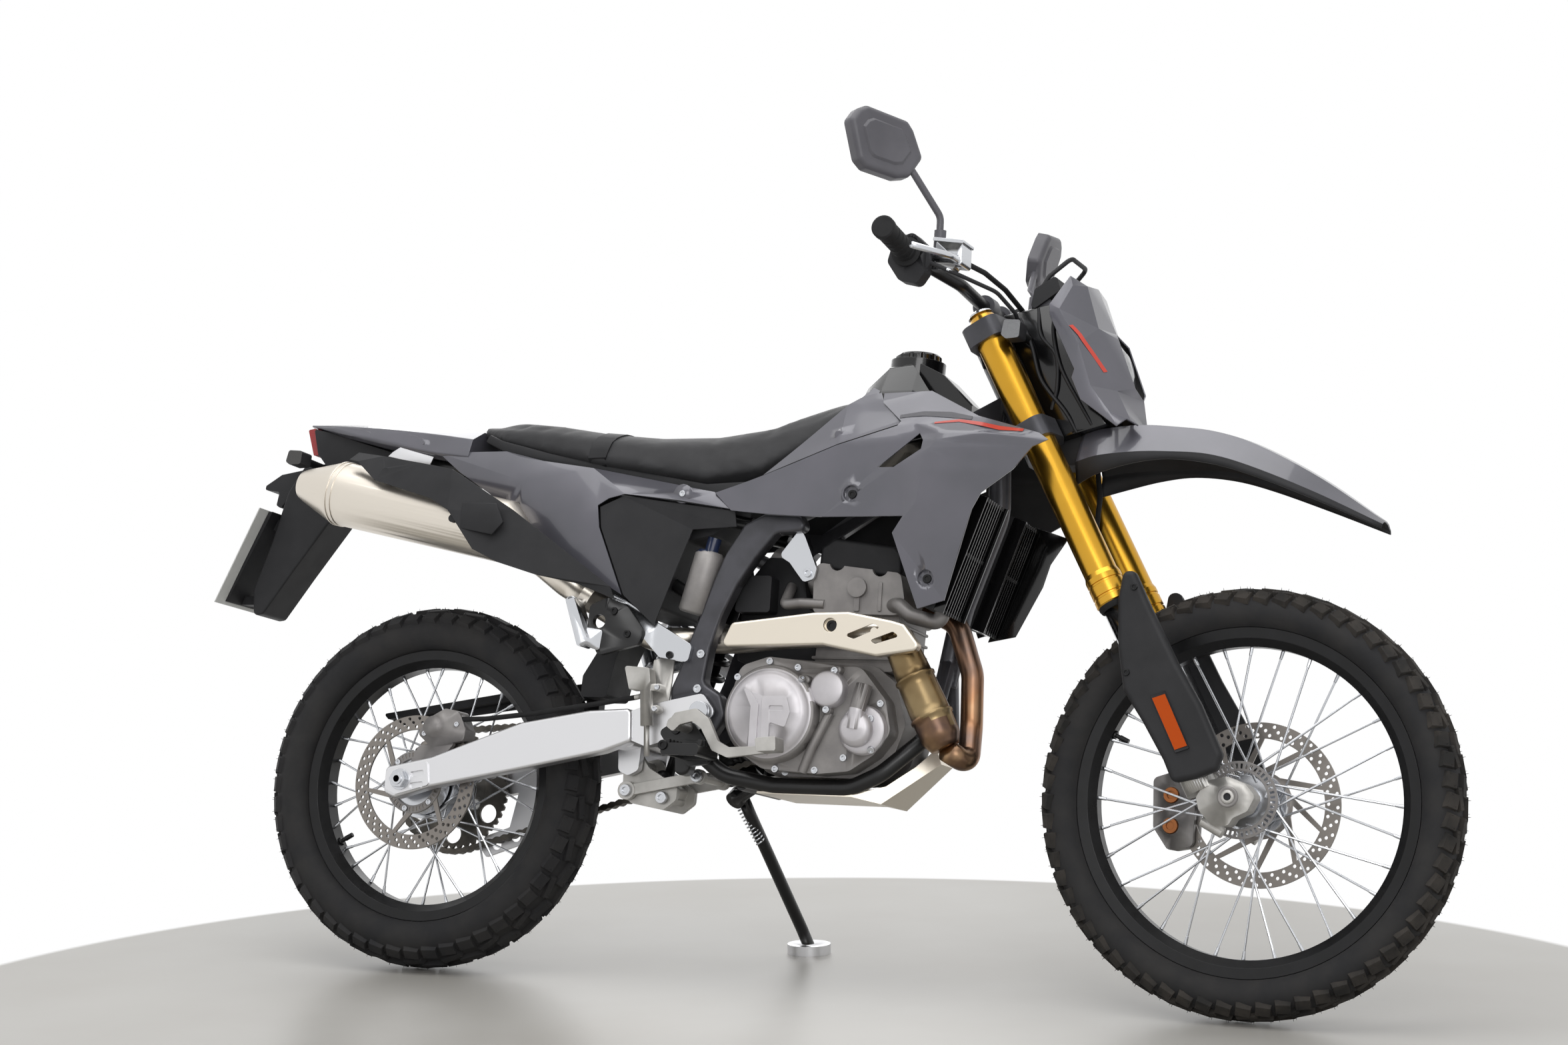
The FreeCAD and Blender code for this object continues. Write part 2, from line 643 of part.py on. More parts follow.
def shock_spring():
    foot = Vec(462, 0, 352)
    along = (Vec(575, 0, 742) - foot).normalize()
    pitch = 30.0
    height = 280 - 68 - 14
    helix = Part.makeHelix(pitch, height, 34)
    start = Vec(34, 0, 0)
    circle = Part.Wire(Part.makeCircle(5.5, start, Vec(0, 1, pitch / 2 / math.pi / 34)))
    coil = Part.Wire(helix.Edges).makePipeShell([circle], True, True)
    coil.Placement = FreeCAD.Placement(foot + along * 75, FreeCAD.Rotation(Z, along))
    return coil


# Frame

def main_frame():
    """Head tube, spars, down tube and cradle, with the engine hangers and the side stand's lug."""
    head = rod(on_stem(HEAD_BOTTOM), on_stem(HEAD_TOP), HEAD_TUBE_R)
    spar_side = [(PIVOT_X - 62, PIVOT_Z - 20), (506, 500), (520, 534), (534, 581), (556, 643), (573, 692), (592, 737),
                 (622, 786), (660, 806), (730, 802), (736, 776), (682, 771), (646, 727), (616, 680), (592, 628),
                 (574, 570), (566, 510), (600, 490), (612, 455), (590, 420), (560, 405), (548, 352), (524, 352),
                 (520, 410)]
    pieces = [head]
    for side in (1, -1):
        spar = plate(spar_side, side * SPAR_IN, side * SPAR_OUT, 16)
        outer = [edge for edge in spar.Edges if abs(edge.CenterOfMass.y - side * SPAR_OUT) < 0.01]
        pieces.append(spar.makeFillet(SPAR_EDGE_R, outer))
        low = [Vec(690, side * y, z) for y, z in ((SPAR_OUT - 3, 780), (SPAR_OUT - 3, 804), (SPAR_IN, 804), (SPAR_IN, 780))]
        high = [Vec(1046, side * y, z) for y, z in ((30, 965), (30, 1020), (8, 1020), (8, 965))]
        pieces.append(lofted([rounded_wire(low, 0), rounded_wire(high, 0)], ruled=True))
        pieces.append(engine_hanger(side))
    down = tube([(1072, 0, 990), (1040, 0, 930), (1044, 0, 868), (1046, 0, 820), (1018, 0, 740), (988, 0, 655),
                 (966, 0, 526)], 19, 200)
    pieces.append(down)
    for side in (1, -1):
        y = side * CRADLE_Y
        cradle = tube([(970, side * 8, 560), (962, side * 60, 436), (890, y, 366), (838, y, 341),
                       (700, y, 341), (606, y, 356), (552, side * 96, 400)], TUBE_R, 70)
        pieces.append(cradle)
    cross = [rod(Vec(640, -CRADLE_Y, 341), Vec(640, CRADLE_Y, 341), 10),
             rod(Vec(600, -SPAR_IN, 745), Vec(600, SPAR_IN, 745), 13)]
    body = fused(*(pieces + cross + [stand_bracket()]))
    pivot = Vec(PIVOT_X, 0, PIVOT_Z)
    body = body.cut(rod(pivot - Y * 200, pivot + Y * 200, PIVOT_R))
    return body.cut(rod(on_stem(HEAD_BOTTOM - 1), on_stem(HEAD_TOP + 1), HEAD_BORE_R))


def engine_hanger(side):
    """The plate that ties the cylinder head to a spar."""
    sheet = plate([(686, 734), (722, 782), (732, 766), (756, 712), (752, 694), (734, 688), (722, 702), (706, 722)],
                  side * (SPAR_OUT - 20), side * (SPAR_OUT - 14), 8)
    return sheet


def stand_bracket():
    """The lug under the left cradle tube that carries the side stand on a headed pin."""
    seat = STAND_PIVOT - STAND_AXIS * (STAND_EYE_HALF + SEAT_GAP)
    cap = STAND_PIVOT + STAND_AXIS * (STAND_EYE_HALF + SEAT_GAP)
    boss = rod(seat - STAND_AXIS * 14, seat, STAND_EYE_R)
    web = rod(seat - STAND_AXIS * 7, Vec(600, CRADLE_Y, 358), 12)
    web = web.cut(rod(seat, cap + STAND_AXIS * 30, STAND_EYE_R + 6))
    pin = rod(seat - STAND_AXIS * 7, cap, STAND_PIN_R)
    return fused(boss, web, pin, rod(cap, cap + STAND_AXIS * 6, 11))


def pivot_bolt():
    pivot = Vec(PIVOT_X, 0, PIVOT_Z)
    shaft = rod(pivot - Y * 132, pivot + Y * 132, PIVOT_R)
    heads = [rod(pivot + Y * side * ARM_OUT, pivot + Y * side * 132, 17) for side in (1, -1)]
    return fused(shaft, *heads)


def subframe():
    pieces = []
    for side in (1, -1):
        y = side * RAIL_Y
        pieces.append(tube([(628, side * SPAR_IN, 790), (480, y, 820), (240, y, 862), (-60, side * 60, 916)], 12, 90))
        pieces.append(tube([(566, side * SPAR_IN, 640), (460, y, 700), (300, y, 790), (160, y, 866)], 11, 90))
    for x, z in ((240, 862), (-56, 915)):
        pieces.append(rod(Vec(x, -RAIL_Y + 4, z), Vec(x, RAIL_Y - 4, z), 10))
    return fused(*pieces)


# Engine

def engine_cases():
    """The crankcase halves with their flange, and ribs under the cylinder."""
    lower = [(606, 500), (612, 420), (655, 378), (720, 358), (850, 358), (905, 388), (926, 450), (905, 520),
             (868, 548), (690, 560), (630, 548)]
    block = plate(lower, -CASE_HALF, CASE_HALF, 26)
    flange = plate([(600, 500), (606, 414), (650, 371), (718, 351), (852, 351), (910, 382), (933, 450), (911, 526),
                    (872, 554), (690, 566), (624, 554)], -4, 4, 26)
    return fused(block, flange)


def cylinder_and_head():
    """Barrel, head with a scalloped top joint, the intake and the exhaust port, and the coolant outlet."""
    barrel = plate([(752, 540), (757, 642), (902, 642), (896, 540)], -70, 70, 8)
    bands = [plate([(748, z), (748, z + 5), (904, z + 5), (904, z)], -74, 74, 2) for z in (560, 580, 600, 620)]
    head = plate([(750, 636), (748, 700), (754, 724), (905, 706), (914, 662), (906, 634)], -88, 88, 12)
    scallops = [rod(Vec(x, -100, z), Vec(x, 100, z), 14) for x, z in ((790, 724), (868, 714))]
    head = head.cut(Part.makeCompound(scallops))
    plug = rod(Vec(830, -96, 680), Vec(830, 96, 680), 17)
    ribs = [plate([(825, 640), (825, 672), (835, 672), (835, 640)], -92, -86, 2),
            plate([(868, 640), (868, 690), (874, 690), (874, 640)], -91, -86, 2)]
    intake = rod(Vec(752, 0, 690), Vec(700, 0, 712), 27)
    body = rod(Vec(700, 0, 712), Vec(640, 0, 734), 34)
    fuel_pipe = tube([(770, -84, 652), (726, -84, 654), (694, -80, 652), (690, -40, 690)], 9, 10)
    port = rod(Vec(900, 0, 668), Vec(926, 0, 660), 27)
    outlet = tube([(884, -70, 652), (908, -96, 650), (934, -106, 630), (988, -108, 617), (991, -106, 652)], 13, 16)
    return fused(barrel, *bands, head, plug, *ribs, intake, body, fuel_pipe, port, outlet)


def head_cover():
    cover = plate([(752, 716), (754, 752), (778, 768), (888, 754), (901, 742), (903, 700)], -78, 78, 10)
    top = [edge for edge in cover.Edges if edge.CenterOfMass.z > 735 and abs(abs(edge.CenterOfMass.y) - 78) < 0.01]
    return cover.makeFillet(6, top)


def round_cover(x, z, radius, y0, y1, edge=8):
    """A round cover with a chamfered rim on a side face of the engine."""
    side = 1 if y1 > y0 else -1
    depth = abs(y1 - y0)
    profile = [(0, 0), (0, radius), (depth - edge, radius), (depth - edge * 0.4, radius - edge * 0.4),
               (depth, radius - edge), (depth, 0)]
    return turned(profile, Vec(x, y0, z), Y * side)


def clutch_relief():
    """The raised ribs on the clutch cover's face."""
    face = -CLUTCH_FACE
    ribs = [plate([(664, 498), (678, 492), (694, 470), (694, 392), (680, 388), (680, 466)], face - 3, face, 2),
            plate([(700, 484), (744, 484), (752, 458), (744, 432), (716, 440), (716, 384), (702, 386)],
                  face - 4, face, 3)]
    groove = plate([(714, 468), (738, 468), (740, 460), (714, 460)], face - 5, face - 2, 2)
    return fused(*ribs).cut(groove)


def right_cover():
    """The right side cover with its clutch cover, oil filter cover, water pump and oil pipe."""
    edge = [(618, 470), (640, 396), (690, 366), (790, 360), (846, 366), (888, 394), (916, 432), (904, 486), (858, 540),
            (780, 548), (690, 556), (640, 540)]
    base = plate(edge, -COVER_Y, -CASE_HALF, 24)
    rim = round_cover(CLUTCH_X, CLUTCH_Z, CLUTCH_R, -COVER_Y, -CLUTCH_FACE + 12, 6)
    clutch = round_cover(CLUTCH_X, CLUTCH_Z, CLUTCH_R - 6, -COVER_Y, -CLUTCH_FACE, 14)
    oil = round_cover(FILTER_X, FILTER_Z, FILTER_R, -COVER_Y, -146, 6)
    ears = [round_cover(x, z, 8, -COVER_Y, -138, 3) for x, z in ((765, 516), (820, 534), (806, 466))]
    pump = round_cover(PUMP_X, PUMP_Z, PUMP_R, -COVER_Y, -134, 6)
    volute = round_cover(PUMP_X - 8, PUMP_Z, PUMP_R - 12, -COVER_Y, -150, 10)
    elbow = tube([(PUMP_X - 10, -140, PUMP_Z), (PUMP_X - 6, -142, PUMP_Z + 30), (PUMP_X + 2, -136, PUMP_Z + 74)], 14, 20)
    pipe = tube([(808, -126, 462), (780, -128, 404), (764, -124, 362)], 8, 40)
    return fused(base, rim, clutch, clutch_relief(), oil, *ears, pump, volute, elbow, pipe)


def left_cover():
    """The generator cover and the guard over the front sprocket."""
    edge = [(700, 470), (712, 396), (760, 362), (846, 362), (896, 400), (904, 460), (862, 524), (790, 540),
            (730, 520)]
    base = plate(edge, CASE_HALF, 104, 20)
    rotor = round_cover(MAGNETO_X, MAGNETO_Z, MAGNETO_R, 104, 134, 10)
    boss = round_cover(MAGNETO_X, MAGNETO_Z, 22, 134, 140, 4)
    return fused(base, rotor, boss)


# Exhaust

def catalyst_can():
    """The wide part of the pipe in front of the engine, with a welded seam at each end."""
    low = Vec(1018, -138, 408)
    high = Vec(924, -144, 592)
    length = (high - low).Length
    profile = [(0, 0), (0, 24), (18, 33), (52, CATALYST_R), (54, CATALYST_R + 2.5), (58, CATALYST_R + 2.5),
               (60, CATALYST_R), (122, CATALYST_R - 2), (124, CATALYST_R + 0.5), (128, CATALYST_R + 0.5),
               (130, CATALYST_R - 3), (length - 4, 27), (length - 4, 0)]
    return turned(profile, low, high - low)


def exhaust_header():
    """The pipe from the head, round in front of the frame and back along the right side."""
    pipe = tube([(926, 0, 660), (992, -30, 628), (1030, -52, 540), (1036, -62, 450), (1046, -100, 386),
                 (1020, -136, 404)], PIPE_R, 60)
    back = tube([(930, -144, 580), (912, -146, 594), (800, -138, 594), (700, -112, 592), (600, -64, 590),
                 (450, -66, 590), (290, -110, 680), (200, MUFFLER_Y, 752)], PIPE_R + 3, 70)
    clamp = rod(Vec(336, -97, 654), Vec(320, -101, 663), PIPE_R + 7)
    return fused(pipe, catalyst_can(), back, clamp)


def heat_shield():
    """A pressed cover over the pipe: a shallow tray with two slots and a deep-set bolt."""
    outline = [(626, 562), (645, 604), (792, 622), (853, 624), (930, 610), (952, 604), (980, 570), (974, 560),
               (906, 550), (811, 568)]
    face = -190
    tray = plate(outline, face, face + 18, 10)
    front = [edge for edge in tray.Edges if abs(edge.CenterOfMass.y - face) < 0.01]
    tray = tray.makeFillet(5, front)
    wire = rounded_wire([Vec(x, face + 3, z) for x, z in outline], 10)
    inner = Part.Face(wire.makeOffset2D(-2.5)).extrude(Y * 20)
    slots = [plate([(848, 584), (898, 604), (914, 598), (866, 578)], face - 1, face + 30, 5),
             plate([(894, 576), (934, 591), (946, 583), (904, 570)], face - 1, face + 30, 5)]
    cup = rod(Vec(823, face + 2, 601), Vec(823, face + 14, 601), 15)
    well = rod(Vec(823, face - 1, 601), Vec(823, face + 10, 601), 12)
    tray = fused(tray.cut(inner), cup).cut(Part.makeCompound(slots + [well]))
    studs = [rod(Vec(x, y_pipe, z), Vec(x, face + depth, z), 6) for x, y_pipe, depth, z in
             ((823, -150, 11, 601), (760, -140, 2, 600), (900, -150, 2, 592))]
    return fused(tray, *studs)


MUFFLER_BACK = Vec(-162, MUFFLER_Y, 841)
MUFFLER_FRONT = Vec(185, MUFFLER_Y, 768)


def muffler():
    """The round silencer with its seam rings, tapered tail cone and open end."""
    along = (MUFFLER_BACK - MUFFLER_FRONT)
    length = along.Length
    profile = [(-34, 0), (-34, 26), (0, MUFFLER_R - 2), (length - 12, MUFFLER_R), (length - 12, MUFFLER_R + 1.5),
               (length - 9, MUFFLER_R + 1.5), (length - 9, MUFFLER_R), (length - 2, MUFFLER_R),
               (length - 2, MUFFLER_R + 1.5), (length + 1, MUFFLER_R + 1.5), (length + 1, MUFFLER_R - 1),
               (length + 8, MUFFLER_R - 2), (length + 78, 30), (length + 86, 26), (length + 86, 17),
               (length + 30, 17), (length + 30, 0)]
    return turned(profile, MUFFLER_FRONT, along)


def muffler_guard():
    """The black guard outside the silencer and its pipe, creased along its middle."""
    corners = {
        "a": (-124, 192, 894), "b": (-113, 180, 909), "c": (-52, 196, 898), "d": (31, 202, 883), "e": (95, 204, 871),
        "f": (218, 194, 798), "g": (402, 162, 668), "h": (409, 156, 647), "i": (342, 172, 672), "j": (270, 192, 684),
        "k": (203, 208, 703), "l": (155, 214, 725), "m": (102, 218, 794), "n": (63, 217, 816), "o": (-56, 212, 851),
        "p": (-101, 202, 888)}
    facets = ["a p b", "p o c b", "o n d c", "n m e d", "m l f e", "l k f", "k j f", "j i g f", "i h g"]
    shell = faceted(corners, facets, GUARD_WALL)
    studs = [rod(Vec(x, -MUFFLER_SIDE_Y, z), Vec(x, -y_out, z), 7) for x, z, y_out in ((110, 780, 215), (-40, 868, 205))]
    return fused(shell, *studs)


# Cooling

def radiator_frame(lead, half_in, half_out):
    """A slanting box of the radiator's height on the right side, from how far it reaches ahead."""
    up = (RADIATOR_TOP - RADIATOR_FOOT).normalize()
    height = (RADIATOR_TOP - RADIATOR_FOOT).Length
    box = Part.makeBox(lead[1] - lead[0], half_out - half_in, height, Vec(lead[0], -half_out, 0))
    box.Placement = FreeCAD.Placement(RADIATOR_FOOT, FreeCAD.Rotation(Z, up))
    return box


def radiators():
    """Two cores with their end tanks, on stays from the frame."""
    core = radiator_frame((0, 30), 56, 148)
    sides = [radiator_frame((-2, 32), 50, 58), radiator_frame((-2, 32), 146, 152)]
    stays = [rod(Vec(x, -4, z), Vec(x, -60, z), 6) for x, z in ((1010, 720), (1036, 800))]
    right = fused(core, *sides, *stays)
    return Part.makeCompound(both_sides(right))


def radiator_guards():
    """The upright slats in front of each core, with a deep glossy blade beside the frame."""
    blade = radiator_frame((33, 56), 52, 56)
    outer = radiator_frame((33, 50), 148, 151)
    pieces = [blade, outer]
    count = 7
    for i in range(count):
        half = 64 + i * (146 - 64) / count
        pieces.append(radiator_frame((36, 50), half, half + 2.5))
    across = []
    up = (RADIATOR_TOP - RADIATOR_FOOT).normalize()
    height = (RADIATOR_TOP - RADIATOR_FOOT).Length
    for share in (0.0, 0.5, 0.97):
        bar = Part.makeBox(16, 98, 6, Vec(32, -151, share * height))
        bar.Placement = FreeCAD.Placement(RADIATOR_FOOT, FreeCAD.Rotation(Z, up))
        across.append(bar)
    return Part.makeCompound(both_sides(fused(*pieces, *across)))


# Bodywork

def steering_room():
    """The space on both sides of the middle that the fork legs and clamps sweep behind the stem."""
    sweep = rod(on_stem(HEAD_BOTTOM - 200), on_stem(HEAD_TOP + 100), FORK_SWEEP_R)
    middle = Part.makeBox(800, 2 * TANK_NOSE_HALF, 800, Vec(700, -TANK_NOSE_HALF, 700))
    return sweep.cut(middle)


def fuel_tank():
    """The tank's black middle, with a raised neck for the cap."""
    stations = [(668, [(52, 836), (64, 850), (64, 884), (50, 898)]),
                (760, [(66, 850), (98, 890), (92, 940), (46, 976)]),
                (812, [(70, 860), (104, 900), (92, 990), (48, 1040)]),
                (850, [(72, 880), (106, 920), (90, 1020), (52, 1074)]),
                (905, [(74, 900), (104, 930), (86, 1022), (52, 1080)]),
                (946, [(72, 910), (98, 940), (80, 1008), (46, 1060)]),
                (1000, [(52, 960), (84, 968), (66, 990), (38, 1006)])]
    body = lofted([section_yz(x, points, 12) for x, points in stations], ruled=True).cut(steering_room())
    return fused(body, rod(Vec(882, 0, 1050), Vec(884, 0, 1092), 48))


def fuel_cap():
    """A screw cap with finger notches round its edge."""
    cap = turned([(0, 0), (0, CAP_R), (9, CAP_R), (13, CAP_R - 4), (13, 16), (11, 14), (11, 0)], Vec(884, 0, 1092), Z)
    notches = []
    for i in range(12):
        notch = Part.makeCylinder(5, 20, Vec(CAP_R + 2, 0, -2))
        notch.rotate(Vec(0, 0, 0), Z, i * 30)
        notch.translate(Vec(884, 0, 1094))
        notches.append(notch)
    return cap.cut(Part.makeCompound(notches))


def tank_panel():
    """The knee panel between the seat and the shroud, which leans in towards the tank's top."""
    corners = {"a": (652, 114, 872), "b": (714, 101, 927), "c": (792, 90, 999), "d": (816, 86, 1013),
               "e": (834, 81, 1030), "f": (850, 88, 1022), "g": (863, 105, 1000), "h": (907, 134, 959),
               "i": (904, 140, 951), "j": (794, 132, 921)}
    facets = ["a j b", "b j c", "j i h", "j h c", "c h g", "c g d", "d g f", "d f e"]
    stud = rod(Vec(790, -95, 940), Vec(790, -122, 940), 7)
    return fused(faceted(corners, facets, PANEL_WALL), stud)


def bolt_cup(x, z, y_face, y_seat):
    """A round well for a panel bolt: its hole, and the cup with the spigot behind it."""
    hole = rod(Vec(x, -y_face - 20, z), Vec(x, -y_face + WELL_DEPTH, z), WELL_R)
    cup = rod(Vec(x, -y_face + 2, z), Vec(x, -y_face + WELL_DEPTH + 3, z), WELL_R + 3)
    spigot = rod(Vec(x, -y_face + WELL_DEPTH, z), Vec(x, -y_seat, z), 7)
    return hole, fused(cup, spigot)


def shroud():
    """The pointed shroud in front of the tank: flat sides that meet in creases, with a vent and two bolt wells."""
    corners = {
        "a": (569, 124, 840), "b": (603, 128, 808), "c": (672, 136, 799), "d": (780, 150, 791), "e": (934, 176, 787),
        "f": (914, 168, 760), "g": (965, 166, 633), "h": (1011, 166, 647), "i": (1027, 176, 700), "j": (1057, 187, 796),
        "k": (1073, 192, 822), "l": (1129, 203, 858), "m": (1162, 211, 893), "n": (1190, 216, 903),
        "o": (1171, 205, 917), "p": (1052, 160, 958), "q": (953, 118, 1013), "r": (858, 93, 1017),
        "s": (864, 112, 996), "t": (909, 142, 956), "u": (905, 148, 947), "v": (795, 140, 917), "w": (653, 121, 868),
        "vent_back": (877, 156, 874), "vent_top": (951, 162, 930), "vent_front": (962, 176, 915),
        "vent_low": (961, 181, 899), "vent_foot": (909, 166, 872),
        "crease_a": (992, 190, 912), "crease_b": (979, 190, 897), "crease_c": (970, 191, 860),
        "crease_d": (964, 189, 811), "ridge_a": (939, 152, 950), "ridge_b": (992, 183, 926), "ridge_c": (1076, 203, 920)}
    facets = ["a b w", "b c w", "c d v w", "d e vent_foot vent_back", "d vent_back v",
              "e crease_d crease_c vent_foot", "vent_foot crease_c crease_b vent_low",
              "v vent_back vent_top u", "u vent_top ridge_a t", "vent_low crease_b crease_a vent_front",
              "vent_top vent_front crease_a ridge_b ridge_a", "f g h crease_d", "f crease_d e",
              "h i j crease_d", "crease_d j k crease_c", "crease_c k l crease_b", "crease_b l m crease_a",
              "crease_a m n ridge_c ridge_b", "ridge_c n o p", "ridge_b ridge_c p", "ridge_a ridge_b p q",
              "t ridge_a q s", "s q r"]
    panel = faceted(corners, facets, PANEL_WALL)
    for x, z, y_face, y_seat in ((832, 830, 157, 96), (977, 684, 168, 140)):
        hole, cup = bolt_cup(x, z, y_face, y_seat)
        panel = fused(panel, cup).cut(hole)
    return panel


def seat():
    """The long seat, dipped in the middle and rising onto the tank."""
    stations = [(70, [(40, 966), (62, 970), (60, 984), (40, 989)]),
                (130, [(70, 938), (98, 944), (92, 972), (56, 984)]),
                (230, [(80, 914), (110, 922), (102, 958), (58, 973)]),
                (330, [(84, 893), (118, 900), (106, 942), (58, 957)]),
                (430, [(84, 876), (119, 884), (104, 930), (56, 948)]),
                (540, [(76, 856), (112, 864), (94, 929), (52, 949)]),
                (640, [(64, 874), (98, 884), (80, 945), (48, 964)]),
                (720, [(56, 930), (82, 938), (68, 978), (44, 997)]),
                (802, [(40, 1004), (60, 1008), (52, 1020), (36, 1034)])]
    return lofted([section_yz(x, points, 12) for x, points in stations], ruled=True)


def side_panel():
    """The grey panel under the seat, bulging over the silencer and running to a point above the frame."""
    corners = {
        "a": (3, 100, 925), "b": (58, 114, 885), "c": (189, 132, 806), "d": (319, 142, 712), "e": (413, 142, 658),
        "f": (361, 144, 777), "g": (355, 143, 816), "h": (374, 140, 829), "i": (403, 137, 837), "j": (504, 133, 826),
        "k": (600, 126, 811), "l": (567, 121, 842), "m": (327, 114, 889), "n": (223, 108, 905), "o": (173, 104, 914),
        "p": (141, 98, 926), "q": (200, 140, 862), "r": (300, 152, 790)}
    facets = ["a b q p", "b c q", "c d r q", "d e f r", "p q n o", "q r m n", "r f g m", "m g h i l", "i j k l"]
    hole, cup = bolt_cup(510, 838, 131, 92)
    return fused(faceted(corners, facets, PANEL_WALL), cup).cut(hole)


def inner_panel():
    """The flat dark panel between the grey panel and the frame spar."""
    corners = {"a": (400, 134, 834), "b": (608, 122, 808), "c": (612, 120, 781), "d": (531, 122, 776),
               "e": (505, 126, 701), "f": (475, 132, 606), "g": (415, 138, 658), "h": (363, 140, 777),
               "i": (358, 139, 814)}
    facets = ["i h a", "h g f e", "h e d", "h d a", "a d c b"]
    return faceted(corners, facets, PANEL_WALL)


def airbox():
    """The air box behind the inner panels, with the rear inner fender and the flap ahead of the tyre."""
    box = plate([(270, 770), (300, 838), (560, 826), (600, 800), (560, 770), (512, 760), (488, 690), (470, 640),
                 (400, 640), (330, 706)], -AIRBOX_HALF, AIRBOX_HALF, 8)
    fender = plate([(-244, 898), (0, 874), (180, 836), (290, 790), (286, 782), (176, 828), (0, 866), (-244, 890)],
                   -64, 64)
    flap = plate([(302, 490), (352, 490), (366, 560), (404, 650), (372, 660), (330, 572), (304, 528)], -46, 46, 8)
    pads = [rod(Vec(x, side * AIRBOX_HALF, z), Vec(x, side * y_out, z), 9) for side in (1, -1)
            for x, y_out, z in ((440, 131, 740), (560, 118, 800))]
    return fused(box, fender, flap, *pads)


def regulator():
    """The black box beside the shock absorber, on a tab from the frame's cross tube."""
    box = plate([(598, 640), (608, 704), (664, 704), (664, 640)], -72, -20, 6)
    return fused(box, plate([(606, 690), (596, 745), (608, 745), (620, 690)], -50, -36))


def tail_cowl():
    """The grey wedge of the tail."""
    stations = [(-309, [(26, 990), (42, 993), (40, 996), (20, 999)]),
                (-250, [(46, 974), (66, 979), (58, 990), (30, 998)]),
                (-120, [(74, 940), (94, 946), (80, 976), (42, 989)]),
                (0, [(86, 914), (106, 922), (92, 960), (50, 981)]),
                (68, [(88, 905), (108, 914), (94, 950), (52, 972)])]
    return lofted([section_yz(x, points, 5) for x, points in stations], ruled=True)


def tail_light():
    return plate([(-315, 986), (-299, 989), (-286, 938), (-298, 936)], -44, 44, 3)


def plate_holder():
    """The black tail piece: lamp housing, flap and the arm of the number plate."""
    housing = plate([(-298, 986), (-285, 938), (-262, 912), (-90, 888), (0, 890), (10, 910), (-110, 934), (-268, 980)],
                    -50, 50, 3)
    flap = plate([(-374, 770), (-348, 868), (-318, 916), (-262, 922), (-236, 900), (-250, 812), (-321, 715),
                  (-378, 634), (-398, 631), (-404, 681)], -42, 42, 10)
    outer = [edge for edge in flap.Edges if abs(abs(edge.CenterOfMass.y) - 42) < 0.01]
    flap = flap.makeFillet(4, outer)
    lamp = plate([(-411, 884), (-378, 905), (-316, 916), (-316, 890), (-350, 872), (-374, 840), (-384, 846),
                  (-380, 872), (-412, 876)], -22, 22, 4)
    return fused(housing, flap, lamp)


def licence_plate():
    return plate([(-377, 828), (-375, 828), (-453, 649), (-455, 649)], -89, 89)


def plate_clip():
    """The board that the number plate is screwed to, and the blocks that hold it."""
    board = plate([(-374, 826), (-366, 826), (-446, 655), (-452, 655)], -60, 60)
    blocks = [plate([(-350, 796), (-350, 816), (-374, 816), (-382, 796)], -30, 30),
              plate([(-388, 656), (-392, 672), (-440, 672), (-447, 656)], -12, 12)]
    return fused(board, *blocks)


def indicator(base, tip, height):
    """A lamp with a flat rounded body on a short stalk that points out to the side."""
    stalk = rod(base, tip, 7)
    length = 34 if tip.y > base.y else -34
    body = plate([(tip.x - 17, tip.z - height * 0.3), (tip.x - 12, tip.z + height * 0.42),
                  (tip.x + 17, tip.z + height * 0.36), (tip.x + 15, tip.z - height * 0.46),
                  (tip.x - 8, tip.z - height * 0.5)], tip.y, tip.y + length, 5)
    return fused(stalk, body)


def rear_indicators():
    right = indicator(Vec(-276, -30, 912), Vec(-280, -104, 914), 30)
    return Part.makeCompound(both_sides(right))


def skid_plate():
    """The plate under the engine, folded up in front and at both sides."""
    base = [(671, 327.3), (843, 319), (889, 318), (1000, 384), (1006, 402), (978, 414), (912, 350), (849, 327)]
    return plate(base, -100, 100, 6)


# Foot controls

def peg_teeth(x0, x1, side, z_low, z_high):
    """The toothed rim of a footpeg, as blocks along both long edges."""
    teeth = []
    step = 15.0
    count = int((PEG_END - PEG_START) / step)
    for i in range(count):
        y = side * (PEG_START + 4 + i * step)
        for x in (x0, x1):
            teeth.append(Part.makeBox(6, 8, z_high - z_low, Vec(x - 3, y - 4, z_low)))
    return teeth


def footpegs():
    """The rider's pegs on their brackets."""
    pegs = []
    for side in (1, -1):
        bracket = plate([(496, 424), (528, 446), (560, 440), (600, 392), (596, 372), (556, 366), (520, 392)],
                        side * SPAR_OUT, side * (SPAR_OUT + 12), 8)
        neck = plate([(540, 380), (540, 412), (596, 404), (596, 372)], side * (SPAR_OUT + 12), side * PEG_START, 6)
        frame = plate([(544, 376), (544, 396), (612, 396), (612, 376)], side * PEG_START, side * PEG_END, 6)
        room = plate([(554, 370), (554, 402), (602, 402), (602, 370)], side * (PEG_START + 12), side * (PEG_END - 8), 4)
        pegs.append(fused(bracket, neck, frame.cut(room), *peg_teeth(549, 607, side, 386, 404)))
    return Part.makeCompound(pegs)


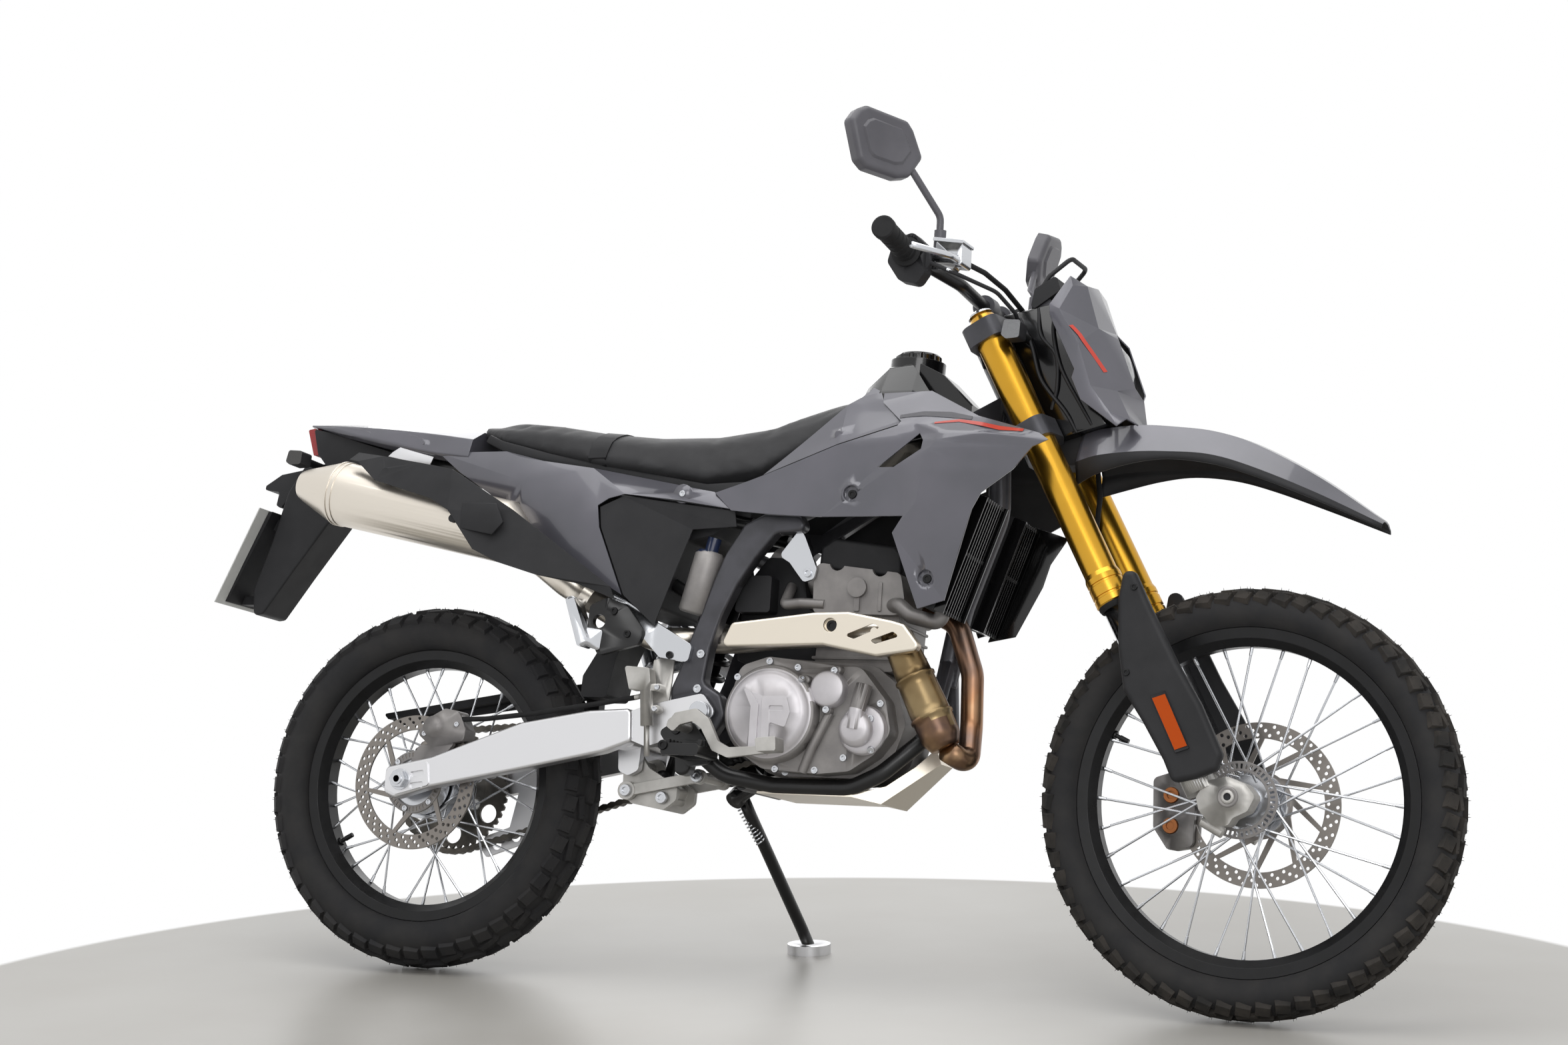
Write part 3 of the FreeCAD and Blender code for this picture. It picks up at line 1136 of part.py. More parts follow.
def passenger_pegs():
    """The silver hangers below the side panels, with the folded pegs of the passenger."""
    pieces = []
    for side in (1, -1):
        strut = plate([(386, 664), (412, 652), (486, 607), (546, 574), (540, 544), (486, 552), (434, 604), (390, 646)],
                      side * (SPAR_OUT + SEAT_GAP), side * (SPAR_OUT + 12), 8)
        carrier = plate([(352, 640), (386, 654), (424, 638), (458, 594), (450, 572), (374, 552), (350, 596)],
                        side * (SPAR_OUT + 12), side * (SPAR_OUT + 24), 10)
        carrier = carrier.cut(rod(Vec(372, 0, 612), Vec(372, side * 200, 612), 12))
        peg = plate([(312, 650), (328, 654), (362, 574), (344, 562)], side * (SPAR_OUT + 8), side * (SPAR_OUT + 44), 6)
        link = plate([(344, 570), (352, 600), (380, 596), (376, 560)], side * (SPAR_OUT + 12), side * (SPAR_OUT + 30), 5)
        pieces.append(fused(strut, carrier, peg, link))
    return Part.makeCompound(pieces)


def brake_pedal():
    """A flat cranked lever with a toothed pad."""
    arm = plate([(536, 428), (552, 450), (590, 458), (614, 442), (634, 404), (654, 394), (744, 400), (744, 389),
                 (652, 377), (624, 388), (602, 424), (584, 436), (562, 430), (550, 418)], -186, -176, 5)
    pad = plate([(716, 386), (712, 408), (748, 412), (750, 388)], -214, -176, 3)
    return fused(arm, pad, rod(Vec(549, -186, 432), Vec(549, -SPAR_OUT, 432), 10))


def shift_lever():
    arm = tube([(690, 145, 396), (740, 152, 412), (800, 168, 410)], 6, 20)
    pad = rod(Vec(800, 160, 410), Vec(800, 200, 410), 9)
    return fused(arm, pad, rod(Vec(690, CASE_HALF, 396), Vec(690, 152, 396), 8))


def rear_caliper():
    """The caliper over the top of the rear disc, and its carrier on the axle."""
    body = plate([(10, 412), (30, 440), (62, 458), (88, 454), (106, 420), (104, 402), (40, 388)], -ARM_IN, -58, 8)
    piston = rod(Vec(46, -ARM_IN - 12, 424), Vec(46, -ARM_IN, 424), 19)
    slot = rod(REAR_AXLE + Y * (REAR_DISC_Y - 5), REAR_AXLE + Y * (REAR_DISC_Y + 5), REAR_DISC_R + 6)
    carrier = plate([(-14, 330), (14, 390), (60, 400), (90, 402), (60, 366), (30, 320)], -ARM_IN + 1, -86, 8)
    carrier = carrier.cut(rod(REAR_AXLE - Y * 200, REAR_AXLE + Y * 200, 17.3))
    return fused(body.cut(slot), piston, carrier)


def rear_brake_hose():
    """The hose from the rear brake's cylinder along the top of the swingarm to the caliper."""
    return tube([(470, -136, 488), (452, -116, 484), (364, -110, 470), (254, -110, 452), (150, -106, 440),
                 (92, -88, 440)], HOSE_R, 24)


def rear_master_cylinder():
    """The reservoir and cylinder of the rear brake beside the frame, with the rod to the pedal."""
    bracket = plate([(466, 438), (474, 548), (512, 560), (506, 440)], -SPAR_OUT - 6, -SPAR_OUT, 4)
    reservoir = plate([(434, 533), (481, 530), (485, 506), (474, 492), (446, 492)], -150, -126, 4)
    cylinder = rod(Vec(478, -136, 432), Vec(472, -136, 500), 11)
    seats = [rod(Vec(x, -SPAR_OUT, z), Vec(x, -136, z), 7) for x, z in ((494, 498), (492, 461))]
    arms = [plate([(472, z - 6), (472, z + 6), (496, z + 6), (496, z - 6)], -140, -130, 2) for z in (498, 461)]
    push = rod(Vec(478, -136, 432), Vec(482, -136, 380), 5)
    return fused(bracket, reservoir, cylinder, *seats, *arms, push)


# Steering

def fork_line(height, side):
    """A point on a fork leg's centre line by its distance up the steering axis."""
    return on_stem(height, FORK_LEAD, side * FORK_Y)


def triple_clamps():
    """Both clamps with pinch-bolt ears, the stem and its nut, and the stays of the lamps."""
    pieces = [rod(on_stem(HEAD_BOTTOM - CLAMP_T), on_stem(HEAD_TOP + CLAMP_T), STEM_R)]
    for low, high in ((HEAD_BOTTOM - SEAT_GAP - CLAMP_T, HEAD_BOTTOM - SEAT_GAP),
                      (HEAD_TOP + SEAT_GAP, HEAD_TOP + SEAT_GAP + CLAMP_T)):
        corners = [on_stem(low, lead, y) for lead, y in ((-28, 16), (-12, FORK_Y - 30), (-12, FORK_Y + 30),
                   (54, FORK_Y + 36), (60, FORK_Y - 34), (34, 0), (60, -FORK_Y + 34), (54, -FORK_Y - 36),
                   (-12, -FORK_Y - 30), (-12, -FORK_Y + 30), (-28, -16))]
        face = Part.Face(rounded_wire(corners, 20))
        pieces.append(face.extrude(UP_STEM * (high - low)))
    pieces.append(rod(on_stem(HEAD_TOP + CLAMP_T), on_stem(HEAD_TOP + CLAMP_T + 12), 17))
    stay = [(1048, 1124), (1196, 1128), (1196, 1104), (1060, 1096)]
    pieces += both_sides(plate(stay, 50, 56, 4))
    pieces += both_sides(plate([(1104, 1100), (1112, 1176), (1140, 1186), (1130, 1106)], 50, 56, 4))
    pieces += both_sides(rod(Vec(1188, 52, 1116), Vec(1188, 92, 1116), 5))
    body = fused(*pieces)
    for side in (1, -1):
        body = body.cut(rod(fork_line(500, side), fork_line(1000, side), OUTER_TUBE_R))
    return body


def fork_outer_tubes():
    """The gold outer tubes: a thicker foot with two grooves, and a cap on top."""
    length = OUTER_TOP - OUTER_BOTTOM
    foot_r = OUTER_TUBE_R + 2.5
    profile = [(0, INNER_TUBE_R), (0, foot_r - 2), (2, foot_r), (12, foot_r), (13, foot_r - 1.5), (16, foot_r - 1.5),
               (17, foot_r), (34, foot_r), (35, foot_r - 1.5), (38, foot_r - 1.5), (39, foot_r), (48, foot_r),
               (56, OUTER_TUBE_R), (length - 6, OUTER_TUBE_R), (length, OUTER_TUBE_R - 4), (length + 10, 18),
               (length + 10, 0), (length - 12, 0), (length - 12, INNER_TUBE_R)]
    legs = [turned(profile, fork_line(OUTER_BOTTOM, side), UP_STEM) for side in (1, -1)]
    return Part.makeCompound(legs)


def fork_lower_legs():
    """The sliding tubes, the cast axle lugs at their feet and the hollow front axle that joins them."""
    pieces = []
    for side in (1, -1):
        pieces.append(rod(fork_line(INNER_BOTTOM, side), fork_line(OUTER_BOTTOM + 260, side), INNER_TUBE_R))
        sleeve = rod(fork_line(INNER_BOTTOM - 30, side), fork_line(INNER_BOTTOM + 44, side), INNER_TUBE_R + 4)
        outline = [(1437, 346), (1452, 372), (1486, 380), (1516, 369), (1532, 350), (1520, 326), (1497, 315),
                   (1490, 303), (1464, 302), (1442, 326)]
        lug = plate(outline, side * (FORK_Y - 20), side * (FORK_Y + 20), 10)
        ring_boss = rod(FRONT_AXLE + Y * side * (FORK_Y + 20), FRONT_AXLE + Y * side * (FORK_Y + 26), 20)
        pinch = rod(Vec(1444, side * (FORK_Y + 4), 310), Vec(1478, side * (FORK_Y + 4), 292), 9)
        pieces += [sleeve, lug, ring_boss, pinch]
    axle = rod(FRONT_AXLE - Y * (FORK_Y + 30), FRONT_AXLE + Y * (FORK_Y + 30), FRONT_AXLE_R)
    for side, inner in ((1, FRONT_DISC_Y + DISC_T / 2), (-1, 56)):
        pieces.append(rod(FRONT_AXLE + Y * side * (inner + SEAT_GAP), FRONT_AXLE + Y * side * (FORK_Y - 20), 18))
    body = fused(axle, *pieces)
    return body.cut(rod(FRONT_AXLE - Y * (FORK_Y + 34), FRONT_AXLE + Y * (FORK_Y + 34), AXLE_BORE_R))


def fork_guards():
    """The smooth shields outside the sliding tubes, rounded over to the front."""
    outline = [(1309, 704), (1328, 706), (1358, 645), (1405, 556), (1445, 491), (1482, 413), (1474, 388), (1440, 374),
               (1402, 366), (1386, 402), (1350, 462), (1316, 512), (1305, 583), (1302, 660)]
    inner = FORK_Y + INNER_TUBE_R + SEAT_GAP
    guard = plate(outline, inner, inner + 16, 12)
    outer = [edge for edge in guard.Edges if abs(edge.CenterOfMass.y - inner - 16) < 0.01]
    return Part.makeCompound(both_sides(guard.makeFillet(9, outer)))


def front_fender():
    """The long high fender: a broad arch with a crease along each side, open below."""
    stations = [(1200, (66, 838), (72, 930), (40, 964)),
                (1240, (84, 826), (84, 914), (46, 974)),
                (1300, (88, 846), (88, 900), (48, 977)),
                (1360, (88, 866), (88, 905), (46, 969)),
                (1430, (86, 866), (84, 906), (44, 958)),
                (1500, (82, 852), (78, 884), (40, 931)),
                (1600, (66, 822), (62, 840), (32, 874)),
                (1702, (34, 786), (32, 791), (16, 802))]
    outer = []
    inner = []
    for x, low, crease, top in stations:
        arch = [low, crease, top]
        outer.append(section_yz(x, arch))
        inner.append(section_yz(x, [(w - PANEL_WALL, z - PANEL_WALL) for w, z in arch]))
    body = lofted(outer, ruled=True).cut(lofted(inner, ruled=True))
    seat_block = plate([(1140, 900), (1140, 930), (1206, 965), (1226, 968), (1226, 926), (1206, 900)], -36, 36)
    return fused(body, seat_block)


def headlight_cowl():
    """The headlight's shield: a creased mask, open behind, that narrows to its chin."""
    levels = [(1236, (1164, 22), (1168, 14), (1171, 8)),
              (1206, (1184, 92), (1192, 50), (1198, 14)),
              (1148, (1152, 104), (1212, 60), (1228, 16)),
              (1100, (1172, 106), (1238, 62), (1250, 18)),
              (1041, (1200, 108), (1270, 58), (1286, 18)),
              (990, (1218, 102), (1290, 50), (1299, 16)),
              (952, (1274, 84), (1301, 44), (1306, 14))]

    def level_wire(z, points, inset):
        right = [Vec(x - inset, -(half - min(inset, half * 0.3)), z) for x, half in points]
        left = [Vec(x - inset, half - min(inset, half * 0.3), z) for x, half in reversed(points)]
        return rounded_wire(right + left, 0)

    outer = lofted([level_wire(z, points, 0) for z, *points in levels], ruled=True)
    inner = lofted([level_wire(z, points, PANEL_WALL + 1) for z, *points in levels], ruled=True)
    inner.translate(Vec(-2, 0, 0))
    chin = Part.makeBox(300, 124, 60, Vec(1150, -62, 924))
    return outer.cut(inner).cut(chin)


def headlight():
    """The lamp with a round lens, and the box that carries it."""
    lens = turned([(0, 0), (0, 46), (10, 46), (22, 38), (28, 22), (30, 0)], Vec(1238, 0, 1066), Vec(1, 0, 0.3))
    case = plate([(1186, 1030), (1176, 1110), (1226, 1118), (1244, 1040)], -56, 56, 8)
    return fused(lens, case)


def instrument():
    """The meter behind the mask, with the wire hoop over it."""
    meter = plate([(1104, 1160), (1112, 1200), (1150, 1222), (1158, 1196)], -62, 62, 6)
    hoop = tube([(1110, -56, 1150), (1110, -56, 1182), (1134, -52, 1224), (1168, -40, 1256), (1168, 40, 1256),
                 (1134, 52, 1224), (1110, 56, 1182), (1110, 56, 1150)], 4, 14)
    return fused(meter, hoop)


def handlebar():
    points = [(975, -392, 1222), (962, -260, 1216), (1012, -150, 1190), (1018, -60, 1176)]
    points += [(x, -y, z) for x, y, z in reversed(points)]
    return tube(points, 11, 60)


def bar_clamps():
    pieces = []
    for side in (1, -1):
        base = on_stem(HEAD_TOP + CLAMP_T, 6, side * 40)
        top = Vec(1018, side * 40, 1176)
        block = rod(top - Y * 14, top + Y * 14, 20)
        pieces.append(fused(rod(base, top, 13), block))
    return Part.makeCompound(pieces)


def grips():
    """Ribbed grips with a flange inside and a plug at the end."""
    inner = Vec(964, 278, 1217)
    outer = Vec(977, 412, 1223)
    length = (outer - inner).Length
    profile = [(0, 0), (0, 25), (4, 25), (6, 18)]
    for i in range(5):
        start = 16 + i * 20
        profile += [(start, 18), (start + 2, 16.5), (start + 5, 16.5), (start + 7, 18)]
    profile += [(length - 14, 18), (length - 13, 19.5), (length - 2, 19.5), (length, 17), (length, 0)]
    left = turned(profile, inner, outer - inner)
    return Part.makeCompound(both_sides(left))


def hand_controls():
    """Switch housings, levers on their perches and the front brake's reservoir."""
    pieces = []
    for side in (1, -1):
        housing = plate([(930, 1202), (940, 1240), (974, 1250), (1000, 1226), (998, 1182), (984, 1162), (952, 1170)],
                        side * 250, side * 277, 12)
        perch = rod(Vec(966, side * 252, 1216), Vec(980, side * 212, 1210), 17)
        arm = plate([(980, 1220), (1010, 1236), (1040, 1206), (1030, 1192), (990, 1196)], side * 214, side * 238, 6)
        lever = tube([(1022, side * 226, 1212), (1044, side * 250, 1206), (1050, side * 300, 1200),
                      (1026, side * 404, 1192)], 5.5, 30)
        parts = [housing, perch, arm, lever]
        if side < 0:
            parts.append(plate([(1000, 1206), (1004, 1244), (1050, 1236), (1050, 1198)], -246, -204, 5))
            parts.append(plate([(998, 1242), (999, 1248), (1053, 1240), (1052, 1234)], -249, -201, 2))
        pieces.append(fused(*parts))
    return Part.makeCompound(pieces)


def mirror_head(side):
    """A mirror's housing, turned towards the rider, with a rounded back."""
    outline = [(-71, 1416), (-58, 1436), (-41, 1445), (38, 1433), (50, 1419), (70, 1375), (46, 1338), (22, 1332),
               (-37, 1339), (-52, 1352)]
    back = [Vec(-8, u, z) for u, z in outline]
    face = Part.Face(rounded_wire(back, 12))
    body = face.extrude(X * 26)
    rounded = [edge for edge in body.Edges if edge.CenterOfMass.x > 17.9]
    body = body.makeFillet(10, rounded)
    body.rotate(Vec(0, 0, 0), Z, -MIRROR_TURN_DEG)
    body.translate(Vec(932, -325, 0))
    return body if side < 0 else body.mirror(Vec(0, 0, 0), Y)


def mirrors():
    pieces = []
    for side in (1, -1):
        stem = tube([(1003, side * 232, 1226), (1006, side * 240, 1284), (974, side * 284, 1346),
                     (958, side * 296, 1372)], 6, 24)
        sleeve = rod(Vec(1003, side * 232, 1218), Vec(1005, side * 235, 1262), 10)
        pieces.append(fused(stem, sleeve, mirror_head(side)))
    return Part.makeCompound(pieces)


def front_indicators():
    right = indicator(Vec(1104, -52, 1112), Vec(1102, -110, 1114), 36)
    return Part.makeCompound(both_sides(right))


def front_brake_hose():
    """The hose from the caliper up behind the left fork leg, in front of both clamps and out to the right grip."""
    return tube([(1352, 72, 380), (1346, 78, 436), (1326, 92, 490), (1286, 96, 570), (1236, 92, 660), (1188, 80, 770),
                 (1206, 46, 860), (1192, 43, 970), (1146, 43, 1050), (1094, 42, 1112), (1078, 10, 1166),
                 (1066, -80, 1196), (1058, -160, 1206), (1040, -214, 1212)], HOSE_R, 34)


def control_cable(side):
    """A cable that leaves a grip's housing, swings out in front of the fork leg and ends at the upper clamp."""
    return tube([(990, side * 256, 1206), (1040, side * 250, 1184), (1092, side * 190, 1164),
                 (1104, side * 130, 1142), (1100, side * 84, 1120), (1068, side * 60, 1112)], CABLE_R, 40)


def front_caliper():
    """The twin-piston caliper behind the left leg, on its bracket."""
    centre = FRONT_AXLE
    body = plate([(1316, 386), (1352, 398), (1388, 340), (1386, 276), (1344, 268), (1318, 305)], 48, 94, 10)
    pistons = [rod(Vec(x, 40, z), Vec(x, 50, z), 16) for x, z in ((1350, 358), (1350, 308))]
    bracket = plate([(1360, 330), (1444, 340), (1448, 370), (1370, 385)], FORK_Y - 24, FORK_Y - 12)
    slot = rod(centre + Y * (FRONT_DISC_Y - 5), centre + Y * (FRONT_DISC_Y + 5), FRONT_DISC_R + 6)
    return fused(body.cut(slot), bracket, *pistons).cut(slot)


# Side stand

def lowest(shape):
    """The lowest corner of a shape."""
    return min((vertex.Point for vertex in shape.Vertexes), key=lambda point: point.z)


def turn_bars(shape):
    """The shape as it stands with the bars turned a little."""
    turned_shape = shape.copy()
    turned_shape.rotate(STEM_FOOT, UP_STEM, BAR_TURN_DEG)
    return turned_shape


def leaned(shape):
    """The shape as it stands when the machine leans to its left."""
    leaned_shape = shape.copy()
    leaned_shape.rotate(Vec(0, 0, 0), X, -LEAN_DEG)
    return leaned_shape


def find_ground(rear_rubber, front_rubber):
    """The leaning machine's ground as a height at x = 0 and a slope, from the two tyres' lowest corners."""
    back = lowest(leaned(rear_rubber))
    front = lowest(leaned(turn_bars(front_rubber)))
    slope = (front.z - back.z) / (front.x - back.x)
    return back.z - back.x * slope, slope


def ground_under(ground, x, y):
    """The point of the ground at x and y, in the upright machine's own frame."""
    lean = math.radians(LEAN_DEG)
    level = ground[0] + ground[1] * x
    return Vec(x, y, (level + y * math.sin(lean)) / math.cos(lean))


def side_stand(ground):
    """The leg from its pivot to a round foot that lies flat on the ground."""
    foot = ground_under(ground, STAND_FOOT_X, STAND_FOOT_Y)
    along = ground_under(ground, STAND_FOOT_X + 1, STAND_FOOT_Y) - foot
    across = ground_under(ground, STAND_FOOT_X, STAND_FOOT_Y + 1) - foot
    normal = along.cross(across).normalize()
    puck = rod(foot, foot + normal * FOOT_T, FOOT_R)
    ankle = foot + normal * FOOT_T * 0.7
    knee = STAND_PIVOT + Vec(8, 30, -36)
    leg = tube([STAND_PIVOT + (knee - STAND_PIVOT) * 0.3, knee, ankle + Vec(-6, -26, 30), ankle], STAND_TUBE_R, 30)
    eye = rod(STAND_PIVOT - STAND_AXIS * STAND_EYE_HALF, STAND_PIVOT + STAND_AXIS * STAND_EYE_HALF, STAND_EYE_R)
    trim = rod(STAND_PIVOT + STAND_AXIS * STAND_EYE_HALF, STAND_PIVOT + STAND_AXIS * 40, STAND_EYE_R + 4)
    trim = trim.fuse(rod(STAND_PIVOT - STAND_AXIS * 40, STAND_PIVOT - STAND_AXIS * STAND_EYE_HALF, STAND_EYE_R + 4))
    bore = rod(STAND_PIVOT - STAND_AXIS * 40, STAND_PIVOT + STAND_AXIS * 40, STAND_PIN_R + RUNNING)
    return fused(puck, leg, eye).cut(trim).cut(bore)


# Assembly

def notched(pieces):
    """Each piece cut round those named before it where they meet, so that they touch face to face."""
    done = {}
    for name, shape in pieces.items():
        for other in done.values():
            if shape.BoundBox.intersect(other.BoundBox) and shape.common(other).Volume > 0.01:
                shape = shape.cut(other)
        done[name] = shape
    return done


def chassis():
    pair = Part.makeCompound
    pieces = {
        "rear_axle_and_pivot": pair([pivot_bolt(), rear_axle()]),
        "engine_cases": fused(engine_cases(), front_sprocket()),
        "engine_covers": pair([right_cover(), left_cover()]),
        "cylinder_and_head": cylinder_and_head(),
        "head_cover": head_cover(),
        "chain": chain(),
        "swingarm": swingarm(),
        "rear_shock": rear_shock(),
        "shock_spring": shock_spring(),
        "main_frame": main_frame(),
        "suspension_linkage": suspension_linkage(),
        "subframe": subframe(),
        "exhaust_header": exhaust_header(),
        "muffler": muffler(),
        "heat_shield": heat_shield(),
        "muffler_guard": muffler_guard(),
        "radiators": radiators(),
        "radiator_guards": radiator_guards(),
        "fuel_tank": fuel_tank(),
        "fuel_cap": fuel_cap(),
        "seat": seat(),
        "side_panels": pair(both_sides(side_panel())),
        "inner_panels": pair([fused(airbox(), *both_sides(inner_panel())), regulator()]),
        "tank_panels": pair(both_sides(tank_panel())),
        "shrouds": pair(both_sides(shroud())),
        "tail_cowl": tail_cowl(),
        "tail_light": tail_light(),
        "rear_indicators": rear_indicators(),
        "plate_holder": fused(plate_holder(), plate_clip()),
        "licence_plate": licence_plate(),
        "skid_plate": skid_plate(),
        "footpegs": footpegs(),
        "passenger_pegs": passenger_pegs(),
        "chain_guard": chain_guard(),
        "foot_controls": pair([brake_pedal(), shift_lever()]),
        "rear_brake": fused(rear_caliper(), rear_master_cylinder(), rear_brake_hose()),
    }
    return notched(pieces)


def steering():
    pieces = {
        "fork_outer_tubes": fork_outer_tubes(),
        "fork_lower_legs": fork_lower_legs(),
        "triple_clamps": fused(triple_clamps(), bar_clamps()).cut(handlebar()),
        "fork_guards": fork_guards(),
        "front_fender": front_fender(),
        "handlebar": handlebar(),
        "grips": grips(),
        "hand_controls": fused(hand_controls(), control_cable(1), control_cable(-1)),
        "mirrors": mirrors(),
        "headlight": headlight(),
        "headlight_cowl": headlight_cowl(),
        "instrument": instrument(),
        "front_indicators": front_indicators(),
        "front_caliper": fused(front_caliper(), front_brake_hose()),
    }
    return notched(pieces)


def park(bodies, ground):
    """Turn the bars, lean the machine, set it on the ground and centre its box there."""
    turn = FreeCAD.Placement(Vec(0, 0, 0), FreeCAD.Rotation(UP_STEM, BAR_TURN_DEG), STEM_FOOT)
    lean = FreeCAD.Placement(Vec(0, 0, 0), FreeCAD.Rotation(X, -LEAN_DEG))
    level = FreeCAD.Placement(Vec(0, 0, 0), FreeCAD.Rotation(Y, math.degrees(math.atan(ground[1]))))
    whole = level.multiply(lean)
    places = {name: whole for name in bodies}
    for name in ("steering", "front_wheel"):
        places[name] = whole.multiply(turn)
    for name, members in bodies.items():
        for shape in members.values():
            shape.Placement = places[name].multiply(shape.Placement)
    shapes = [shape for members in bodies.values() for shape in members.values()]
    box = Part.makeCompound(shapes).BoundBox
    floor = min(lowest(bodies["rear_wheel"]["rear_tyre"]).z, lowest(bodies["front_wheel"]["front_tyre"]).z)
    centre = FreeCAD.Placement(Vec(-box.Center.x, -box.Center.y, -floor), FreeCAD.Rotation())
    for shape in shapes:
        shape.Placement = centre.multiply(shape.Placement)
    return {name: centre.multiply(place) for name, place in places.items()}


def build():
    rear = rear_wheel()
    front = front_wheel()
    ground = find_ground(rear["rear_tyre"], front["front_tyre"])
    bodies = {
        "chassis": chassis(),
        "rear_wheel": rear,
        "steering": steering(),
        "front_wheel": front,
        "side_stand": {"side_stand": side_stand(ground)},
    }
    return bodies, park(bodies, ground)


os.makedirs("parts", exist_ok=True)
BODIES, PLACES = build()
for body_name, members in BODIES.items():
    for node, shape in members.items():
        shape.exportStep("parts/" + node + ".step")
        print(body_name, node, len(shape.Solids), shape.isValid(), round(shape.Volume))
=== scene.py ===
# %% [markdown]
# A dual sport motorcycle, dressed for its picture.
# The construction comes packed from the workshop: frame, wheels, engine and panels at their real size.
# This lesson gives every surface its finish and adds the small things that a close look shows.
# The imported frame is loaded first, because every new piece takes its place from it.

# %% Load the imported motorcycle
import json
import math

import bmesh
import bpy
from mathutils import Matrix, Vector
from mathutils.bvhtree import BVHTree


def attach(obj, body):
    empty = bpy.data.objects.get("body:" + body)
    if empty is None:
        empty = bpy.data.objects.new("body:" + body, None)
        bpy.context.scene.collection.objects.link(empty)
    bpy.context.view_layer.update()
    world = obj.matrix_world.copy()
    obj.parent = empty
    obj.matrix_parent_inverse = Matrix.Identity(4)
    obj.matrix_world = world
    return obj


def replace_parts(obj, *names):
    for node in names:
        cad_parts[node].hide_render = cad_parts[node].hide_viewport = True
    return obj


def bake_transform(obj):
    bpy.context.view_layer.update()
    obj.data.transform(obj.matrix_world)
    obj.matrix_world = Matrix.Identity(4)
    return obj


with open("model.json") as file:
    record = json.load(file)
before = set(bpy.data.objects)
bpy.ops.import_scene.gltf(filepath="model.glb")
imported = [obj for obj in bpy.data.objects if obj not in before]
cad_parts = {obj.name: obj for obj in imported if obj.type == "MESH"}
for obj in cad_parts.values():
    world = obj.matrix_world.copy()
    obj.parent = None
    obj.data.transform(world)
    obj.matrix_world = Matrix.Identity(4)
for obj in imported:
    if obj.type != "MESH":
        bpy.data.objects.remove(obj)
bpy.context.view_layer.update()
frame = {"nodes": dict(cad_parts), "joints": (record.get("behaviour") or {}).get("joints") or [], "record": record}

# %% [markdown]
# The machine stands leaning, with its bars turned a little, but a maker thinks of it upright.
# So pieces are made in the upright machine's own frame: the origin on the ground under the rear axle,
# X forward, Y to the rider's left and Z up, in millimetres. Three joints give the way back: the rear
# axle, the front axle and the steering axis. One matrix serves what the frame carries and one what turns.

# %% From the upright machine to the parked one
RAKE = math.radians(27.5)
REAR_TYRE_R = 326.5
joints = {joint["name"]: joint for joint in frame["joints"]}


def joint_line(name):
    """A joint's place and its direction, in metres, as the machine stands."""
    joint = joints[name]
    return Vector(joint["pos_m"]), Vector(joint["axis"]).normalized()


rear_axle, left = joint_line("rear_wheel_spin")
front_axle, turned_left = joint_line("front_wheel_spin")
stem_foot, stem = joint_line("steering_turn")
level_ahead = left.cross(stem).normalized()
ahead = level_ahead * math.cos(RAKE) - stem * math.sin(RAKE)
up = stem * math.cos(RAKE) + level_ahead * math.sin(RAKE)
upright = Matrix((ahead, left, up)).transposed()
ON_FRAME = Matrix.Translation(rear_axle - up * REAR_TYRE_R / 1000) @ upright.to_4x4() @ Matrix.Scale(0.001, 4)
bar_turn = math.atan2(stem.dot(left.cross(turned_left)), left.dot(turned_left))
TURN = Matrix.Translation(stem_foot) @ Matrix.Rotation(bar_turn, 4, stem) @ Matrix.Translation(-stem_foot)
ON_STEERING = TURN @ ON_FRAME
print("bars turned", round(math.degrees(bar_turn), 2), "degrees")

# %% [markdown]
# A picture is compared with the real thing only through the same lens from the same place.
# The camera stands 4.2 m to the right of the machine, some 0.9 m above the floor, and looks slightly back
# and up. Its place and turns were worked out from the wheels, which are true circles, so they are written
# as real sizes in the upright machine's frame.

# %% The camera
CAMERA_PLACE = Vector((2404.0, -4237.3, -13.7))
CAMERA_TURNS = ((22.486, "Z"), (90 + 10.195, "X"), (3.838, "Z"))
CAMERA_LENS = 60.87


def new_object(name, data):
    """A new object in the scene."""
    made = bpy.data.objects.new(name, data)
    bpy.context.scene.collection.objects.link(made)
    return made


camera_data = bpy.data.cameras.new("camera")
camera_data.lens = CAMERA_LENS
camera_data.sensor_width = 36.0
camera_data.clip_end = 100.0
camera = new_object("camera", camera_data)
yaw, rise, roll = (Matrix.Rotation(math.radians(angle), 4, axis) for angle, axis in CAMERA_TURNS)
turned_camera = upright.to_4x4() @ (yaw @ rise @ roll)
camera.matrix_world = Matrix.Translation(ON_FRAME @ CAMERA_PLACE) @ turned_camera
bpy.context.scene.camera = camera
print("camera height", round(camera.matrix_world.translation.z, 3))

# %% [markdown]
# A material starts from one shader with constant values on its own sockets: base colour, metal,
# roughness and coat. Detail comes after it, from noise that follows the object: grain for moulded
# plastic and castings, drift in the colour, and softly rounded edges that catch the light.

# %% Helpers for finishes
materials = {}


def shade(red, green, blue):
    """A colour as the eye reads it, 0 to 255, turned to the linear values a shader needs."""
    values = []
    for part in (red, green, blue):
        part = part / 255
        values.append(part / 12.92 if part <= 0.04045 else ((part + 0.055) / 1.055) ** 2.4)
    return (*values, 1.0)


def parts_of(material):
    """The node tree's nodes and links, and the main shader."""
    tree = material.node_tree
    return tree.nodes, tree.links, tree.nodes["Principled BSDF"]


def with_inputs(node, **values):
    """A shader node with constant values on its inputs; an underscore stands for a blank."""
    for name, value in values.items():
        node.inputs[name.replace("_", " ")].default_value = value
    return node


